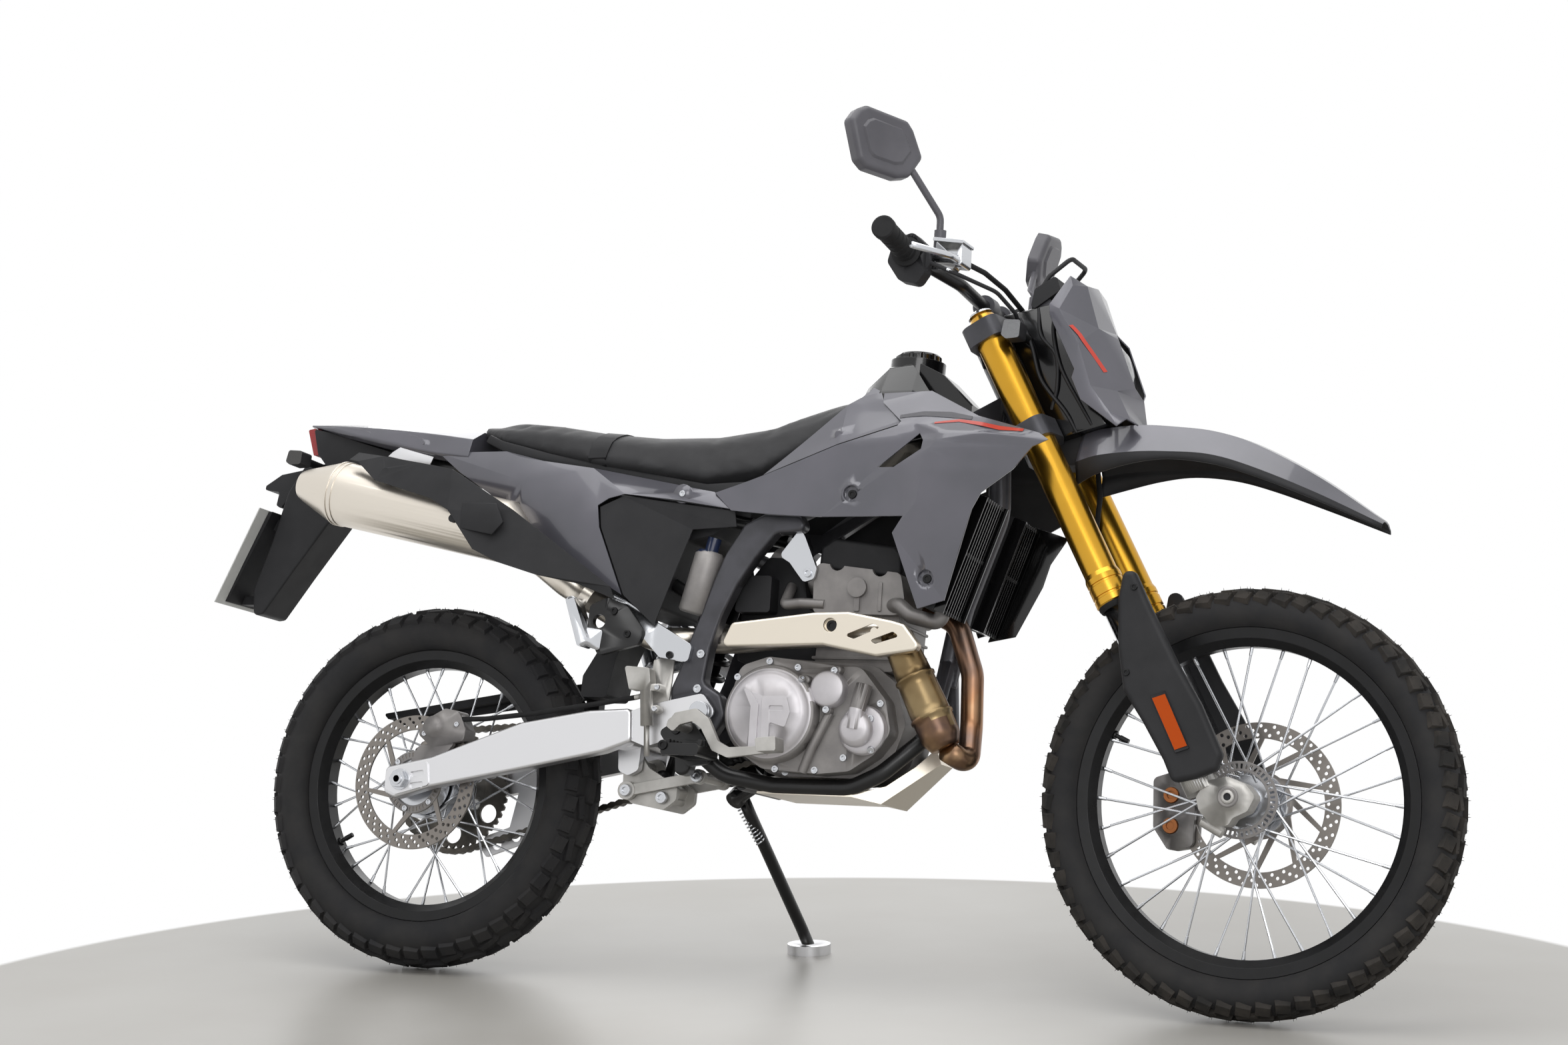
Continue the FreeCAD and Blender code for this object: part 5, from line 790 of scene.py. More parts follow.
# %% Spring of the side stand
def coil(start, end, radius, wire, turns):
    """A coil spring between two points, spun from one small ring."""
    shape = bmesh.new()
    along = (end - start).normalized()
    across = along.orthogonal().normalized()
    ring = Matrix.Translation(start + across * radius) @ pointing(across.cross(along))
    made = bmesh.ops.create_circle(shape, segments=8, radius=wire, matrix=ring)
    edges = list({edge for vertex in made["verts"] for edge in vertex.link_edges})
    steps = int(turns * 14)
    bmesh.ops.spin(shape, geom=made["verts"] + edges, cent=start, axis=along, angle=turns * 2 * math.pi,
                   steps=steps, dvec=(end - start) / steps)
    return shape


SPRING_TOP = Vector((540, 141, 330))
SPRING_FOOT = Vector((572, 178, 262))
spring = add_piece(coil(SPRING_TOP, SPRING_FOOT, 8, 1.8, 12), "stand_spring", "side_stand", "bright_steel", False)
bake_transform(spring)
print("stand spring made")

# %% [markdown]
# Round parts are turned from a profile. The fork's legs lie beside the stem's line, so what sits on them
# is placed by its height along that line.

# %% Turned shapes and the fork's legs
FRONT_AXLE = Vector((1490.0, 0, 347.5))
REAR_AXLE = Vector((0, 0, REAR_TYRE_R))
STEM_FOOT = (1433.4, 318.05)
STEM_SLOPE = (0.4617, 0.887)
LEG_LEAD = 26
LEG_HALF = 100
LEG_UP = Vector((-math.sin(RAKE), 0, math.cos(RAKE)))
SEAL_HEIGHT = 368


def on_leg(height, side):
    """The middle of a fork leg at a height along the stem's line."""
    back, rise = STEM_SLOPE
    return Vector((STEM_FOOT[0] - back * height + rise * LEG_LEAD, side * LEG_HALF,
                   STEM_FOOT[1] + rise * height + back * LEG_LEAD))


def lathe(name, profile, centre, axis, steps, body, look):
    """A closed profile of (distance along an axis, radius) points, turned round that axis."""
    shape = bmesh.new()
    row = [shape.verts.new((radius, 0, along)) for along, radius in profile]
    edges = [shape.edges.new(pair) for pair in zip(row, row[1:] + row[:1])]
    bmesh.ops.spin(shape, geom=row + edges, cent=(0, 0, 0), axis=(0, 0, 1), angle=2 * math.pi, steps=steps,
                   use_merge=True)
    bmesh.ops.remove_doubles(shape, verts=shape.verts, dist=0.01)
    bmesh.ops.transform(shape, matrix=Matrix.Translation(centre) @ pointing(axis), verts=shape.verts)
    add_piece(shape, name, body, look)


print("leg's foot", [round(part) for part in on_leg(0, -1)])

# %% [markdown]
# The real tyres have long slanting blocks set close together, and the fine rubber hairs that a mould leaves.
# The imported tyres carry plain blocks, so new ones take their place at the same size: a turned casing,
# and one tapered block copied round it in staggered rows.

# %% Tyres
FRONT_BLOCKS, REAR_BLOCKS = 32, 26
BLOCK_TALL = 8.0
HAIR_TALL = 4.5
FRONT_SIDE = [(0, 339.5), (10, 338.6), (20, 335.8), (30, 330.6), (36, 325.5), (40, 318.5), (42, 310), (41, 301),
              (37.5, 292), (31, 285), (26, 281.5), (22, 281.5), (22, 268)]
REAR_SIDE = [(0, 318.5), (12, 317.6), (24, 314.7), (36, 309.7), (46, 303.4), (54, 294.5), (59, 284), (60, 274),
             (58, 264), (52, 254), (44, 247.5), (35, 245.5), (31, 245.5), (31, 232)]


def casing(name, side, centre, body):
    """The tyre's smooth casing, from half of its section."""
    section = side + [(-along, radius) for along, radius in reversed(side[1:])]
    lathe(name, section, centre, (0, 1, 0), 96, body, "tyre_rubber")


def block_place(centre, tyre_r, crown_r, y, angle, yaw):
    """The place of a block's top on the crown."""
    drop = crown_r - math.sqrt(crown_r ** 2 - y ** 2)
    tilt = -math.asin(y / crown_r)
    spin = Matrix.Translation(centre) @ Matrix.Rotation(angle, 4, "Y")
    top = Matrix.Translation((0, y, tyre_r - drop - 1)) @ Matrix.Rotation(tilt, 4, "X")
    return spin @ top @ Matrix.Rotation(yaw, 4, "Z")


def tread(name, centre, tyre_r, crown_r, count, rows, body, look):
    """All blocks of one tyre, with their hairs."""
    shape = bmesh.new()
    for i in range(count):
        for y, shift, width, length, yaw in rows:
            top = block_place(centre, tyre_r, crown_r, y, (i + shift) * 2 * math.pi / count, math.radians(yaw))
            size = Matrix.Diagonal((length, width, BLOCK_TALL + 2, 1))
            block = Matrix.Translation((0, 0, -BLOCK_TALL / 2 - 1)) @ size
            made = bmesh.ops.create_cube(shape, size=1, matrix=block)["verts"]
            upper = [vertex for vertex in made if vertex.co.z > -1]
            bmesh.ops.scale(shape, vec=(0.86, 0.82, 1), verts=upper)
            for u, v in ((0.3, 0.2), (-0.34, -0.22)):
                foot = Matrix.Translation((length * u, width * v, HAIR_TALL / 2 - 0.3))
                made += bmesh.ops.create_cone(shape, segments=4, radius1=0.55, radius2=0.2, depth=HAIR_TALL,
                                              matrix=foot)["verts"]
            bmesh.ops.transform(shape, matrix=top, verts=made)
    return add_piece(shape, name, body, look)


casing("front_casing", FRONT_SIDE, FRONT_AXLE, "front_wheel")
casing("rear_casing", REAR_SIDE, REAR_AXLE, "rear_wheel")
# Rows of blocks: y, shift along the tyre in blocks, width, length, yaw in degrees
front_tread = tread("front_tread", FRONT_AXLE, FRONT_AXLE.z, 56, FRONT_BLOCKS, [
    (9.5, 0, 15, 42, 12), (-9.5, 0.5, 15, 42, -12), (23, 0.3, 10, 40, -10), (-23, 0.8, 10, 40, 10),
    (37, 0.1, 24, 27, 16), (37, 0.6, 24, 27, 16), (-37, 0.35, 24, 27, -16), (-37, 0.85, 24, 27, -16)],
    "front_wheel", "tread_dust")
rear_tread = tread("rear_tread", REAR_AXLE, REAR_TYRE_R, 78, REAR_BLOCKS, [
    (13, 0, 22, 48, 10), (-13, 0.5, 22, 48, -10), (33, 0.4, 14, 46, -12), (-33, 0.9, 14, 46, 12),
    (52, 0.1, 24, 31, 8), (52, 0.6, 24, 31, 8), (-52, 0.35, 24, 31, -8), (-52, 0.85, 24, 31, -8)],
    "rear_wheel", "tyre_rubber")
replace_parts(front_tread, "front_tyre")
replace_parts(rear_tread, "rear_tyre")
print("blocks", 8 * (FRONT_BLOCKS + REAR_BLOCKS))

# %% [markdown]
# Turned parts sit by the hubs: the slotted ring that tells the wheel's speed, the bolts of the discs and of
# the sprocket, and the bronze pistons of the front caliper. One seal closes each gold fork tube.

# %% Round the hubs
def bolt_circle(name, centre, y, side, radius, count, first, head, tall, body, look="bright_steel"):
    """Bolt heads evenly round an axle."""
    shape = bmesh.new()
    for i in range(count):
        angle = math.radians(first) + i * 2 * math.pi / count
        place = centre + Vector((radius * math.cos(angle), y, radius * math.sin(angle)))
        screw(shape, place, Vector((0, side, 0)), head, tall)
    add_piece(shape, name, body, look)


def slotted_ring(name, centre, y, radii, slots, thick, body):
    """A thin ring with a row of narrow slots between its two rims."""
    shape = bmesh.new()
    row = [shape.verts.new(centre + Vector((radius, y, 0))) for radius in radii]
    edges = [shape.edges.new(pair) for pair in zip(row, row[1:])]
    bmesh.ops.spin(shape, geom=row + edges, cent=centre + Vector((0, y, 0)), axis=(0, 1, 0), angle=2 * math.pi,
                   steps=slots * 2, use_merge=True)
    gone = []
    for face in shape.faces:
        arm = face.calc_center_median() - centre
        turn = math.atan2(arm.z, arm.x) * slots / math.pi
        if radii[1] < math.hypot(arm.x, arm.z) < radii[2] and int(math.floor(turn)) % 2:
            gone.append(face)
    bmesh.ops.delete(shape, geom=gone, context="FACES")
    add_piece(thicken(shape, thick), name, body, "engine_grey")


def fork_seal(side, name):
    """The black seal under a gold tube."""
    profile = [(-9, 23.3), (-9, 26.5), (-3, 28.6), (0.5, 28.6), (0.5, 23.3)]
    lathe("seal_" + name, profile, on_leg(SEAL_HEIGHT, side), LEG_UP, 40, "steering", "grip_rubber")


# Bolts: name, axle, y, side, radius of the circle, count, first angle, a head's radius and height, body
bolt_circle("rear_disc_bolts", REAR_AXLE, -78, -1, 49, 6, 15, 5.5, 4, "rear_wheel")
bolt_circle("sprocket_bolts", REAR_AXLE, 87, 1, 53, 6, 0, 7, 6, "rear_wheel")
bolt_circle("front_disc_bolts", FRONT_AXLE, 66, 1, 49, 6, 10, 5.5, 4, "front_wheel")
bolt_circle("pistons", Vector((1350, 0, 333)), 40, -1, 25, 2, 90, 14, 5, "steering", "bronze")
# Rings: name, axle, y, four radii, slots, thickness, body
slotted_ring("rear_speed_ring", REAR_AXLE, -79, (42, 45.5, 52.5, 55.5), 44, 1.6, "rear_wheel")
slotted_ring("front_speed_ring", FRONT_AXLE, -57, (46, 50, 58, 62), 44, 1.6, "front_wheel")
for side, name in SIDES:
    fork_seal(side, name)
print("rings and bolts placed")

# %% [markdown]
# Behind the fork a thin black guide stands beside the left radiator and leads the air to it. Under
# the seat a base carries the foam, and it closes the gap between the cushion and the side panels.

# %% Air guide and the seat's base
GUIDE = [(1127, 807), (1097, 761), (1085, 721), (1040, 633), (990, 623), (1000, 652), (1036, 750), (1064, 828)]
SEAT_BASE = [(96, 944), (150, 918), (230, 899), (330, 880), (430, 862), (540, 836), (590, 808), (628, 800),
             (640, 866), (540, 862), (430, 882), (330, 900), (230, 921), (130, 946), (104, 958)]


def sheet_piece(name, outline, y0, y1, body, look, soft_edge=0.0):
    """A flat piece between two widths from its outline of (x, z) points."""
    shape = bmesh.new()
    slab(shape, [Vector((x, y0, z)) for x, z in outline], Vector((0, 1, 0)), y1 - y0)
    if soft_edge:
        bmesh.ops.bevel(shape, geom=shape.edges[:], offset=soft_edge, segments=2, profile=0.5, affect="EDGES",
                        material=-1)
    add_piece(shape, name, body, look)


sheet_piece("air_guide_left", GUIDE, 143, 146, "chassis", "gloss_black", 1.0)
sheet_piece("seat_base", SEAT_BASE, -98, 98, "chassis", "black_plastic", 3.0)
print("guide and base made")

# %% [markdown]
# A strap crosses the seat for the passenger to hold. It is laid over the finished cushion: each point of its
# two edges is found on the cushion from outside, and the band between them gets its thickness.

# %% The seat strap
STRAP_CORE = Vector((340, 0, 905))
STRAP_STEPS = 26
STRAP_LEAN = 24.0
STRAP_HALF = 18
STRAP_REACH = 104


def strap(cushion):
    """A flat band over the cushion, leaning back a little towards its ends."""
    skin = skin_of(cushion.data, ON_FRAME.inverted())
    rows = []
    for i in range(STRAP_STEPS + 1):
        angle = math.radians(-STRAP_REACH + 2 * STRAP_REACH * i / STRAP_STEPS)
        outward = Vector((0, math.sin(angle), math.cos(angle)))
        shift = STRAP_LEAN * (math.cos(angle) - 0.5)
        row = []
        for half in (-STRAP_HALF, STRAP_HALF):
            core = STRAP_CORE + Vector((shift + half, 0, 0))
            place, _, _, _ = skin.ray_cast(core + outward * 260, -outward)
            row.append(None if place is None else place + outward * 3.0)
        rows.append(row)
    return add_piece(thicken(band(rows), 2.2), "seat_strap", "chassis", "black_plastic")


strap(seat)
print("strap laid")

# %% [markdown]
# The mirrors turn on their stems. In the photograph the left one is swung forward, so that the camera sees
# its back. Its copy is turned as a whole about its clamp, and each housing gets the raised field of its back.

# %% Mirrors
LEFT_CLAMP = Vector((1004, 233, 0))
LEFT_SWING = math.radians(-30)
LEFT_LEAN = math.radians(12)
LEFT_SHIFT = Vector((-14, 0, -26))
HOUSING_MIDDLE = Vector((932, 325, 1388))
STEM_TOP = 1263
STEM_BEND = 62
GLASS = [(-66, 1414), (-55, 1430), (-40, 1438), (35, 1427), (45, 1415), (63, 1376), (42, 1343), (20, 1338),
         (-34, 1345), (-47, 1356)]
GLASS_TURN = math.radians(-37)
swing = Matrix.Translation(LEFT_CLAMP) @ Matrix.Rotation(LEFT_SWING, 4, "Z") @ Matrix.Translation(-LEFT_CLAMP)


def swung(place):
    """Where a point of the left mirror goes: swung about its clamp, then leant forward and let down."""
    share = min(1.0, max(0.0, (place.z - STEM_TOP) / STEM_BEND))
    middle = swing @ HOUSING_MIDDLE
    turned = swing @ place
    leant = middle + Matrix.Rotation(LEFT_LEAN, 3, "Y") @ (turned - middle) + LEFT_SHIFT
    return turned.lerp(leant, share)


def dressed_mirrors():
    """Both mirrors, the left one swung forward about its clamp."""
    shape = merged_copy("mirrors")
    bmesh.ops.transform(shape, matrix=ON_STEERING.inverted(), verts=shape.verts)
    for vertex in shape.verts:
        if vertex.co.y > 0 and vertex.co.z > STEM_TOP:
            vertex.co = swung(vertex.co)
    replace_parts(add_piece(shape, "mirror_housings", "steering", "satin_grey"), "mirrors")


def on_mirror(name, side, depth, thick, share, look):
    """A thin field on a mirror: in front of or behind its housing, and smaller than it by a share."""
    turn = Matrix.Translation((932, -325, 0)) @ Matrix.Rotation(GLASS_TURN, 4, "Z")
    middle = sum((Vector((0, u, z)) for u, z in GLASS), Vector()) / len(GLASS)
    corners = [turn @ (middle + (Vector((0, u, z)) - middle) * share + Vector((depth, 0, 0))) for u, z in GLASS]
    outward = turn.to_3x3() @ Vector((1 if depth > 0 else -1, 0, 0))
    shape = bmesh.new()
    outer = slab(shape, corners, outward, thick)
    if depth > 0:
        about = Matrix.Translation(-outer.calc_center_median())
        bmesh.ops.scale(shape, vec=(0.9, 0.9, 0.86), verts=outer.verts, space=about)
    if side > 0:
        bmesh.ops.transform(shape, matrix=Matrix.Scale(-1, 4, (0, 1, 0)), verts=shape.verts)
        for vertex in shape.verts:
            vertex.co = swung(vertex.co)
    add_piece(shape, name, "steering", look)


dressed_mirrors()
for side, name in SIDES:
    on_mirror("mirror_glass_" + name, side, -8.2, 1.0, 1.0, "mirror_glass")
    on_mirror("mirror_back_" + name, side, 17.0, 4.5, 0.74, "satin_grey")
print("mirrors dressed")

# %% [markdown]
# The mask and the front fender are thin shells that only show well when their creases are crisp. Both are
# drawn again as skins: the mask from the corners of its facets, with an opening for the lens, and the
# fender from sections that follow one another smoothly. A thickness is then added on the inside.

# %% Mask and front fender
MASK = {"t": (1184, 88, 1213), "a2": (1154, 104, 1162), "a3": (1155, 104, 1142), "a4": (1203, 107, 1048),
        "a5": (1199, 108, 1034), "a6": (1216, 107, 996), "a7": (1275, 92, 952), "a8": (1290, 82, 967),
        "a9": (1306, 68, 958), "b1": (1188, 86, 1196), "b2": (1172, 104, 1153), "b3": (1208, 105, 1092),
        "b4": (1231, 102, 1020), "b5": (1262, 96, 978), "c1": (1202, 52, 1203), "c2": (1228, 62, 1126),
        "c3": (1264, 60, 1018), "e2": (1254, 30, 1112), "e3": (1286, 30, 1028), "c4": (1288, 54, 968),
        "d0": (1204, 0, 1210), "d1": (1240, 0, 1128), "d3": (1292, 0, 1012), "d4": (1300, 0, 962)}
MASK_FACES = ["t a2 b2 b1", "a2 a3 b2", "a3 a4 b3 b2", "a4 a5 b4 b3", "a5 a6 b4", "a6 a7 b5 b4", "a7 a8 b5",
              "b1 b2 c2 c1", "b2 b3 c2", "b3 b4 c3 c2", "b4 b5 c4 c3", "b5 a8 a9 c4", "t b1 c1", "c1 c2 d1 d0",
              "c3 c4 d4 d3", "c2 c3 e3 e2", "c2 e2 d1", "c3 d3 e3"]
MASK_FILM = [(1191, 1125), (1199, 1117), (1207, 1108), (1224, 1082), (1246, 1048)]
MASK_FILM_STEPS = 24
MASK_FILM_LIFT = Vector((0.5, 1.2, 0.4))
FENDER = [(1200, (64, 860), (72, 892), (72, 898), (40, 952), (0, 957)),
          (1240, (82, 875), (83, 900), (83, 906), (46, 958), (0, 963)),
          (1300, (88, 890), (88, 904), (87, 910), (48, 962), (0, 967)),
          (1360, (88, 896), (88, 903), (87, 909), (46, 958), (0, 963)),
          (1430, (86, 888), (85, 897), (84, 903), (44, 948), (0, 953)),
          (1500, (82, 868), (80, 876), (79, 882), (40, 924), (0, 929)),
          (1600, (66, 829), (65, 835), (63, 841), (32, 870), (0, 874)),
          (1702, (34, 786), (33, 789), (31, 793), (16, 800), (0, 802))]
FENDER_STEPS = 6


def thin_shell(shape, name, looks, thick, sharp):
    """A skin in the steered frame, thickened inwards, with its creases kept crisp."""
    bmesh.ops.remove_doubles(shape, verts=shape.verts, dist=0.01)
    bmesh.ops.recalc_face_normals(shape, faces=shape.faces)
    front = max(shape.faces, key=lambda face: face.calc_center_median().x)
    if front.normal.x < 0:
        bmesh.ops.reverse_faces(shape, faces=shape.faces)
    bmesh.ops.transform(shape, matrix=ON_STEERING, verts=shape.verts)
    piece = keep(shape, name, "steering", looks)
    piece.data.set_sharp_from_angle(angle=math.radians(sharp))
    modify(piece, "SOLIDIFY", thickness=thick / 1000, material_offset=1, material_offset_rim=0)
    return piece


def mask():
    """The headlight's mask."""
    shape = bmesh.new()
    for side in (-1, 1):
        spots = {key: shape.verts.new((x, side * y, z)) for key, (x, y, z) in MASK.items()}
        for row in MASK_FACES:
            shape.faces.new([spots[key] for key in row.split()])
    piece = thin_shell(shape, "mask", ["body_grey", "black_plastic"], 3.0, 6.0)
    modify(piece, "BEVEL", width=0.0012, segments=2, limit_method="ANGLE", angle_limit=math.radians(60))
    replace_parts(piece, "headlight_cowl")


def along(points, share):
    """A point on a smooth curve through a row of points."""
    place = share * (len(points) - 1)
    i = min(int(place), len(points) - 2)
    t = place - i
    a, b = Vector(points[i]), Vector(points[i + 1])
    before = Vector(points[i - 1]) if i else a * 2 - b
    after = Vector(points[i + 2]) if i + 2 < len(points) else b * 2 - a
    return 0.5 * (2 * a + (b - before) * t + (2 * before - 5 * a + 4 * b - after) * t * t
                  + (3 * a - 3 * b + after - before) * t ** 3)


def fender():
    """The long front fender: grey above its crease, and black below it as painted shade of the shaded skirt."""
    shape = bmesh.new()
    lines = [[(x, -spots[k][0], spots[k][1]) for x, *spots in FENDER] for k in range(5)]
    lines += [[(x, spots[k][0], spots[k][1]) for x, *spots in FENDER] for k in (3, 2, 1, 0)]
    steps = FENDER_STEPS * (len(FENDER) - 1)
    rows = [[shape.verts.new(along(line, i / steps)) for line in lines] for i in range(steps + 1)]
    for before, after in zip(rows, rows[1:]):
        for k in range(len(lines) - 1):
            face = shape.faces.new((before[k], before[k + 1], after[k + 1], after[k]))
            # The bands below the crease (0, 1, 6 and 7) are black as painted shade, where the skirt lies in shadow.
            face.material_index = 1 if k in (0, 1, 6, 7) else 0
    piece = thin_shell(shape, "fender", ["body_grey", "black_plastic", "black_plastic"], 2.6, 12.0)
    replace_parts(piece, "front_fender")


def film(points, half):
    """A strip of film on the mask's side facets, on both sides."""
    corners = [Vector(MASK[key]) for key in ("b2", "b3", "b4", "c2", "c3")]
    skin = BVHTree.FromPolygons([tuple(corner) for corner in corners], [(0, 1, 3), (1, 2, 4, 3)])
    for side, name in SIDES:
        rows = []
        for i in range(MASK_FILM_STEPS + 1):
            x, z = between(points, i / MASK_FILM_STEPS)
            row = []
            for shift in (-half, half):
                place, _, _, _ = skin.ray_cast(Vector((x + shift * 0.85, 400, z + shift * 0.5)), Vector((0, -1, 0)))
                if place is not None:
                    place = place + MASK_FILM_LIFT
                    place.y *= side
                row.append(place)
            rows.append(row)
        add_piece(band(rows), "mask_film_" + name, "steering", "stripe_red")


mask()
fender()
film(MASK_FILM, 2.6)
sheet_piece("fender_block", [(1140, 900), (1140, 930), (1206, 958), (1222, 958), (1222, 926), (1206, 900)], -36, 36,
            "steering", "black_plastic", 2.0)
sheet_piece("lamp_housing", [(1052, 1156), (1146, 1174), (1178, 1120), (1222, 1016), (1250, 962), (1166, 940),
                             (1148, 962)], -62, 62, "steering", "gloss_black", 5.0)
print("mask and fender drawn")

# %% [markdown]
# The plate under the engine, the black boot between airbox and head, which is partly painted shade for the
# dark gap there, the caps of the fork and the bracket under the tail close what would otherwise look empty.

# %% Plates and caps
SKID = [(671, 92, 327), (842, 92, 326), (886, 66, 318), (976, 30, 391), (966, 30, 416), (936, 44, 384),
        (893, 66, 348), (842, 90, 331), (671, 92, 331)]


def skid():
    """The plate under the engine: it narrows to its front, and its sides stand up inside the cradle."""
    shape = bmesh.new()
    right, left_side = ([shape.verts.new((x, side * y, z)) for x, y, z in SKID] for side in (-1, 1))
    for row in (right, left_side):
        shape.faces.new(row[1:8])
        shape.faces.new((row[0], row[1], row[7], row[8]))
    for i in range(4):
        shape.faces.new((right[i], right[i + 1], left_side[i + 1], left_side[i]))
    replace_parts(add_piece(thicken(shape, 3.0), "skid", "chassis", "champagne"), "skid_plate")


def wires(name, runs, radius, body, look):
    """Wires and hoses: a round skin along each run of (x, y, z) points."""
    shape = bmesh.new()
    for run in runs:
        steps = 8 * (len(run) - 1)
        path = [along(run, i / steps) for i in range(steps + 1)]
        rings = []
        for i, place in enumerate(path):
            ahead_of = (path[min(i + 1, steps)] - path[max(i - 1, 0)]).normalized()
            across = ahead_of.cross(Vector((0, 1, 0.3))).normalized() * radius
            rings.append([shape.verts.new(place + Matrix.Rotation(k * math.pi / 4, 3, ahead_of) @ across)
                          for k in range(8)])
        for one, other in zip(rings, rings[1:]):
            for k in range(8):
                shape.faces.new((one[k], one[(k + 1) % 8], other[(k + 1) % 8], other[k]))
        shape.faces.new(rings[0])
        shape.faces.new(rings[-1])
    add_piece(shape, name, body, look)


skid()
wires("loom", [[(1088, -60, 1150), (1112, -66, 1100), (1132, -67, 1040), (1176, -66, 985), (1196, -60, 950)],
               [(1150, -60, 1168), (1150, -67, 1120), (1166, -67, 1060), (1200, -66, 1000), (1222, -60, 962)],
               [(1120, -60, 1166), (1128, -67, 1118), (1156, -67, 1082), (1160, -66, 1030), (1150, -60, 990)]],
      3.2, "steering", "black_plastic")
sheet_piece("guard_pad", [(128, 762), (192, 750), (212, 772), (196, 806), (128, 808)], -220, -214, "chassis",
            "black_plastic", 1.5)
CAP = [(0, 0.2), (6, 0.2), (7, 9), (7, 13), (3, 20), (-1, 22), (-1, 0.2)]
COLLAR = [(-3, 10), (2.4, 10), (3, 11), (3, 15), (1.5, 17), (-3, 17)]
HOLE = [(0.2, 0.2), (1.2, 0.2), (1.2, 10.4), (0.2, 10.4)]
OFF_MIDDLE = Vector((0, 18, 0))
tubes = surface_of("fork_outer_tubes")
for side, name in SIDES:
    place, _, _, _ = tubes.ray_cast(on_leg(700, side) + LEG_UP * 400 + OFF_MIDDLE, -LEG_UP)
    lathe("fork_cap_" + name, CAP, place - OFF_MIDDLE, LEG_UP, 40, "steering", "bright_steel")
end, _ = landed(surface_of("fork_lower_legs"), 1503, 347.5)
end = Vector((FRONT_AXLE.x, end.y, FRONT_AXLE.z))
lathe("axle_collar", COLLAR, end, (0, -1, 0), 40, "steering", "engine_grey")
lathe("axle_hole", HOLE, end, (0, -1, 0), 24, "steering", "core_black")
# The intake boot and its hoses as one black slab, which also fills the gap between them with painted shade.
sheet_piece("boot_and_shade_filler", [(590, 560), (596, 690), (640, 745), (705, 740), (722, 652), (800, 640), (800, 556),
                            (700, 540)], -36, 36, "chassis", "black_plastic", 8.0)
for side, name in SIDES:
    sheet_piece("tail_bracket_" + name, [(-97, 929), (-82, 938), (-10, 919), (-17, 902), (-106, 921)],
                *sorted((side * 92, side * 95)), "chassis", "brushed_aluminium", 0.8)
print("plates placed")

# %% Lenses of the indicators
painted("front_indicators", "black_plastic", [("clear_lens", within(aside=(128, HIGH)))])
painted("rear_indicators", "black_plastic", [("smoked_lens", within(aside=(122, HIGH)))])
print("lenses dressed")

# %% [markdown]
# The studio is a round pale floor that turns to white further out, under large soft lamps.
# The floor keeps the machine's shadow. Lamps stay at a plain level, so that colours come out as written.

# %% Floor, world and lamps
FLOOR_MIDDLE = (798.6, -235.4)
FLOOR_R = 1.55
FLOOR_SIZE = 12.0


def make_floor_finish(middle):
    """Light grey inside the round floor, plain white outside it."""
    material = finish("floor", (186, 183, 178), rough=0.32)
    nodes, links, shader = parts_of(material)
    place = nodes.new("ShaderNodeTexCoord")
    centre = nodes.new("ShaderNodeVectorMath")
    centre.operation = "DISTANCE"
    centre.inputs[1].default_value = middle
    edge = with_inputs(nodes.new("ShaderNodeMapRange"), From_Min=FLOOR_R, From_Max=FLOOR_R + 0.02)
    white = nodes.new("ShaderNodeEmission")
    blend = nodes.new("ShaderNodeMixShader")
    links.new(place.outputs["Object"], centre.inputs[0])
    links.new(centre.outputs["Value"], edge.inputs["Value"])
    links.new(edge.outputs["Result"], blend.inputs["Fac"])
    links.new(shader.outputs["BSDF"], blend.inputs[1])
    links.new(white.outputs["Emission"], blend.inputs[2])
    links.new(blend.outputs["Shader"], nodes["Material Output"].inputs["Surface"])
    drift(material, (182, 179, 173), (190, 188, 183), 2.0)
    return material


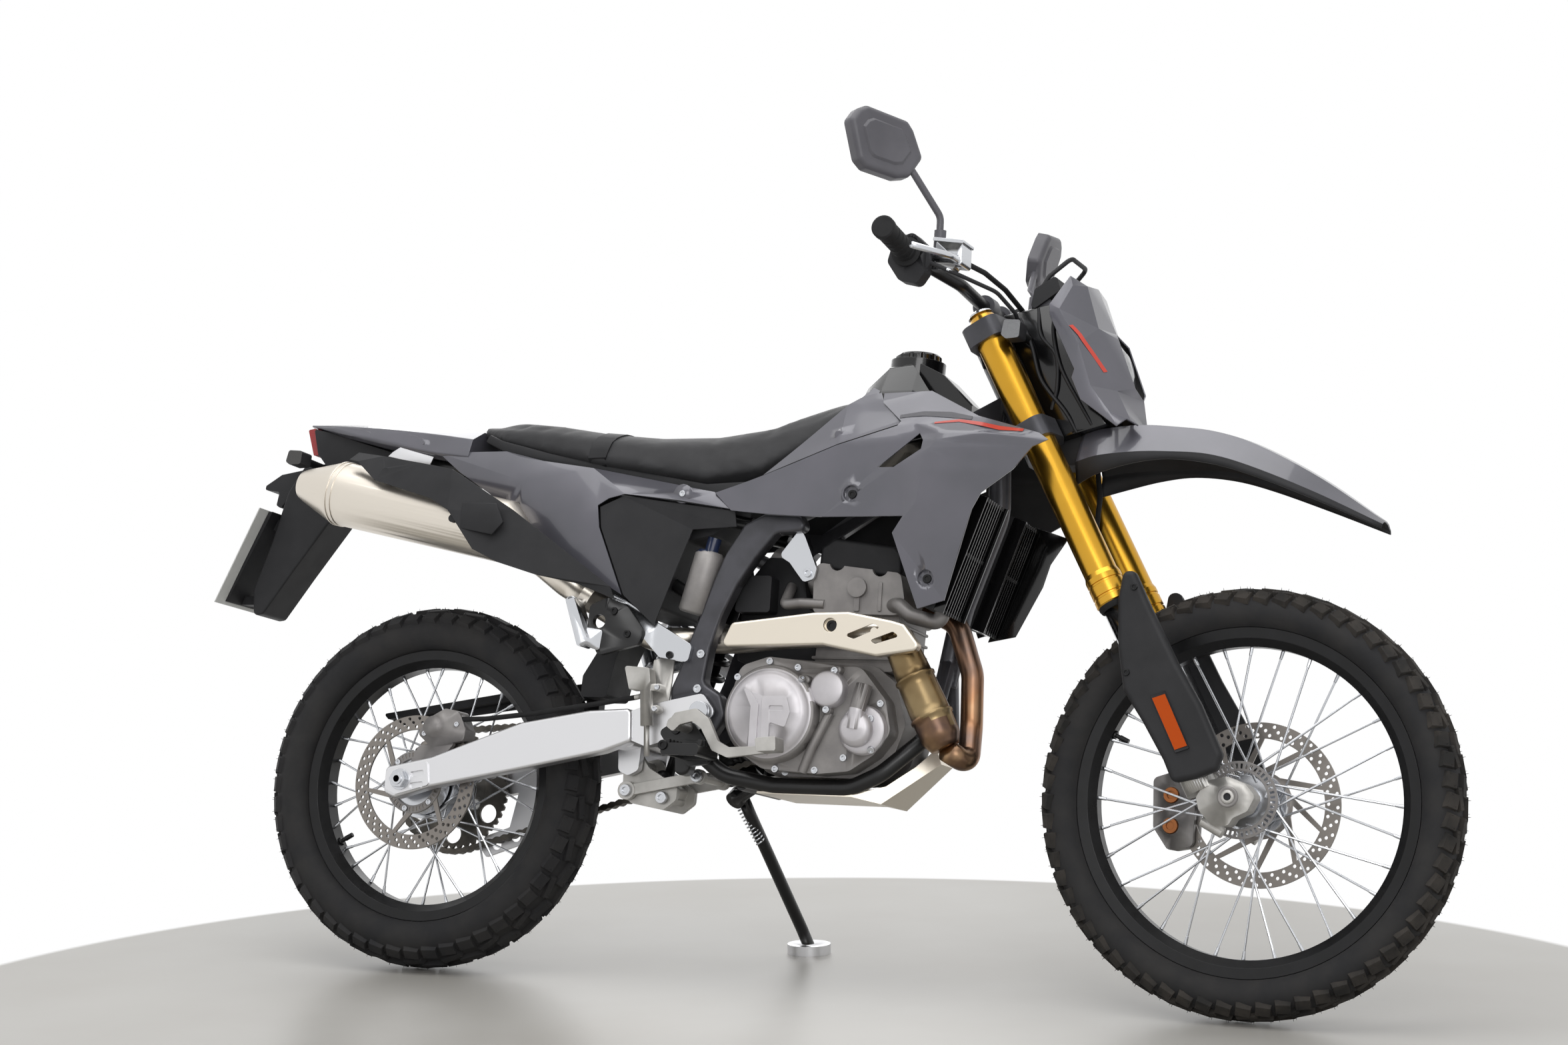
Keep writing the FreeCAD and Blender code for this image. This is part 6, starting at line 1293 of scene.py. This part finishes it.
def make_floor():
    """A flat disc under the machine."""
    mesh = bpy.data.meshes.new("floor")
    shape = bmesh.new()
    bmesh.ops.create_circle(shape, cap_ends=True, segments=96, radius=FLOOR_SIZE)
    shape.to_mesh(mesh)
    shape.free()
    floor = new_object("floor", mesh)
    ahead_of_axle, beside_axle = FLOOR_MIDDLE
    middle = ON_FRAME @ Vector((ahead_of_axle, 0.0, 0.0)) + Vector((0.0, beside_axle / 1000, 0.0))
    middle.z = 0.0
    mesh.materials.append(make_floor_finish(middle))


def make_world(strength):
    """White for what the camera, gloss and glass see, and a soft fill for the rest."""
    world = bpy.data.worlds.new("studio")
    bpy.context.scene.world = world
    world.use_nodes = True
    nodes, links = world.node_tree.nodes, world.node_tree.links
    fill = with_inputs(nodes["Background"], Color=(1, 1, 1, 1), Strength=strength)
    white = with_inputs(nodes.new("ShaderNodeBackground"), Color=(1, 1, 1, 1), Strength=1.0)
    path = nodes.new("ShaderNodeLightPath")
    share = path.outputs["Is Camera Ray"]
    for ray in ("Is Glossy Ray", "Is Transmission Ray"):
        either = nodes.new("ShaderNodeMath")
        either.operation = "MAXIMUM"
        links.new(share, either.inputs[0])
        links.new(path.outputs[ray], either.inputs[1])
        share = either.outputs["Value"]
    mix = nodes.new("ShaderNodeMixShader")
    links.new(share, mix.inputs["Fac"])
    links.new(fill.outputs["Background"], mix.inputs[1])
    links.new(white.outputs["Background"], mix.inputs[2])
    links.new(mix.outputs["Shader"], nodes["World Output"].inputs["Surface"])


def soft_lamp(name, place, aim, size, power):
    """A square soft lamp that looks at a point."""
    data = bpy.data.lights.new(name, "AREA")
    data.size = size
    data.energy = power
    lamp = new_object(name, data)
    lamp.location = place
    lamp.rotation_euler = (Vector(aim) - Vector(place)).to_track_quat("-Z", "Y").to_euler()


make_floor()
make_world(0.35)
soft_lamp("overhead", (0.0, -0.6, 3.4), (0.0, 0.0, 0.5), 3.2, 70)
soft_lamp("right_side", (1.8, -3.6, 2.2), (0.0, 0.0, 0.6), 1.8, 40)
soft_lamp("behind", (-1.6, 3.0, 2.4), (0.0, 0.0, 0.7), 2.0, 26)
bpy.context.scene.view_settings.view_transform = "Standard"
print("lamps", 3)
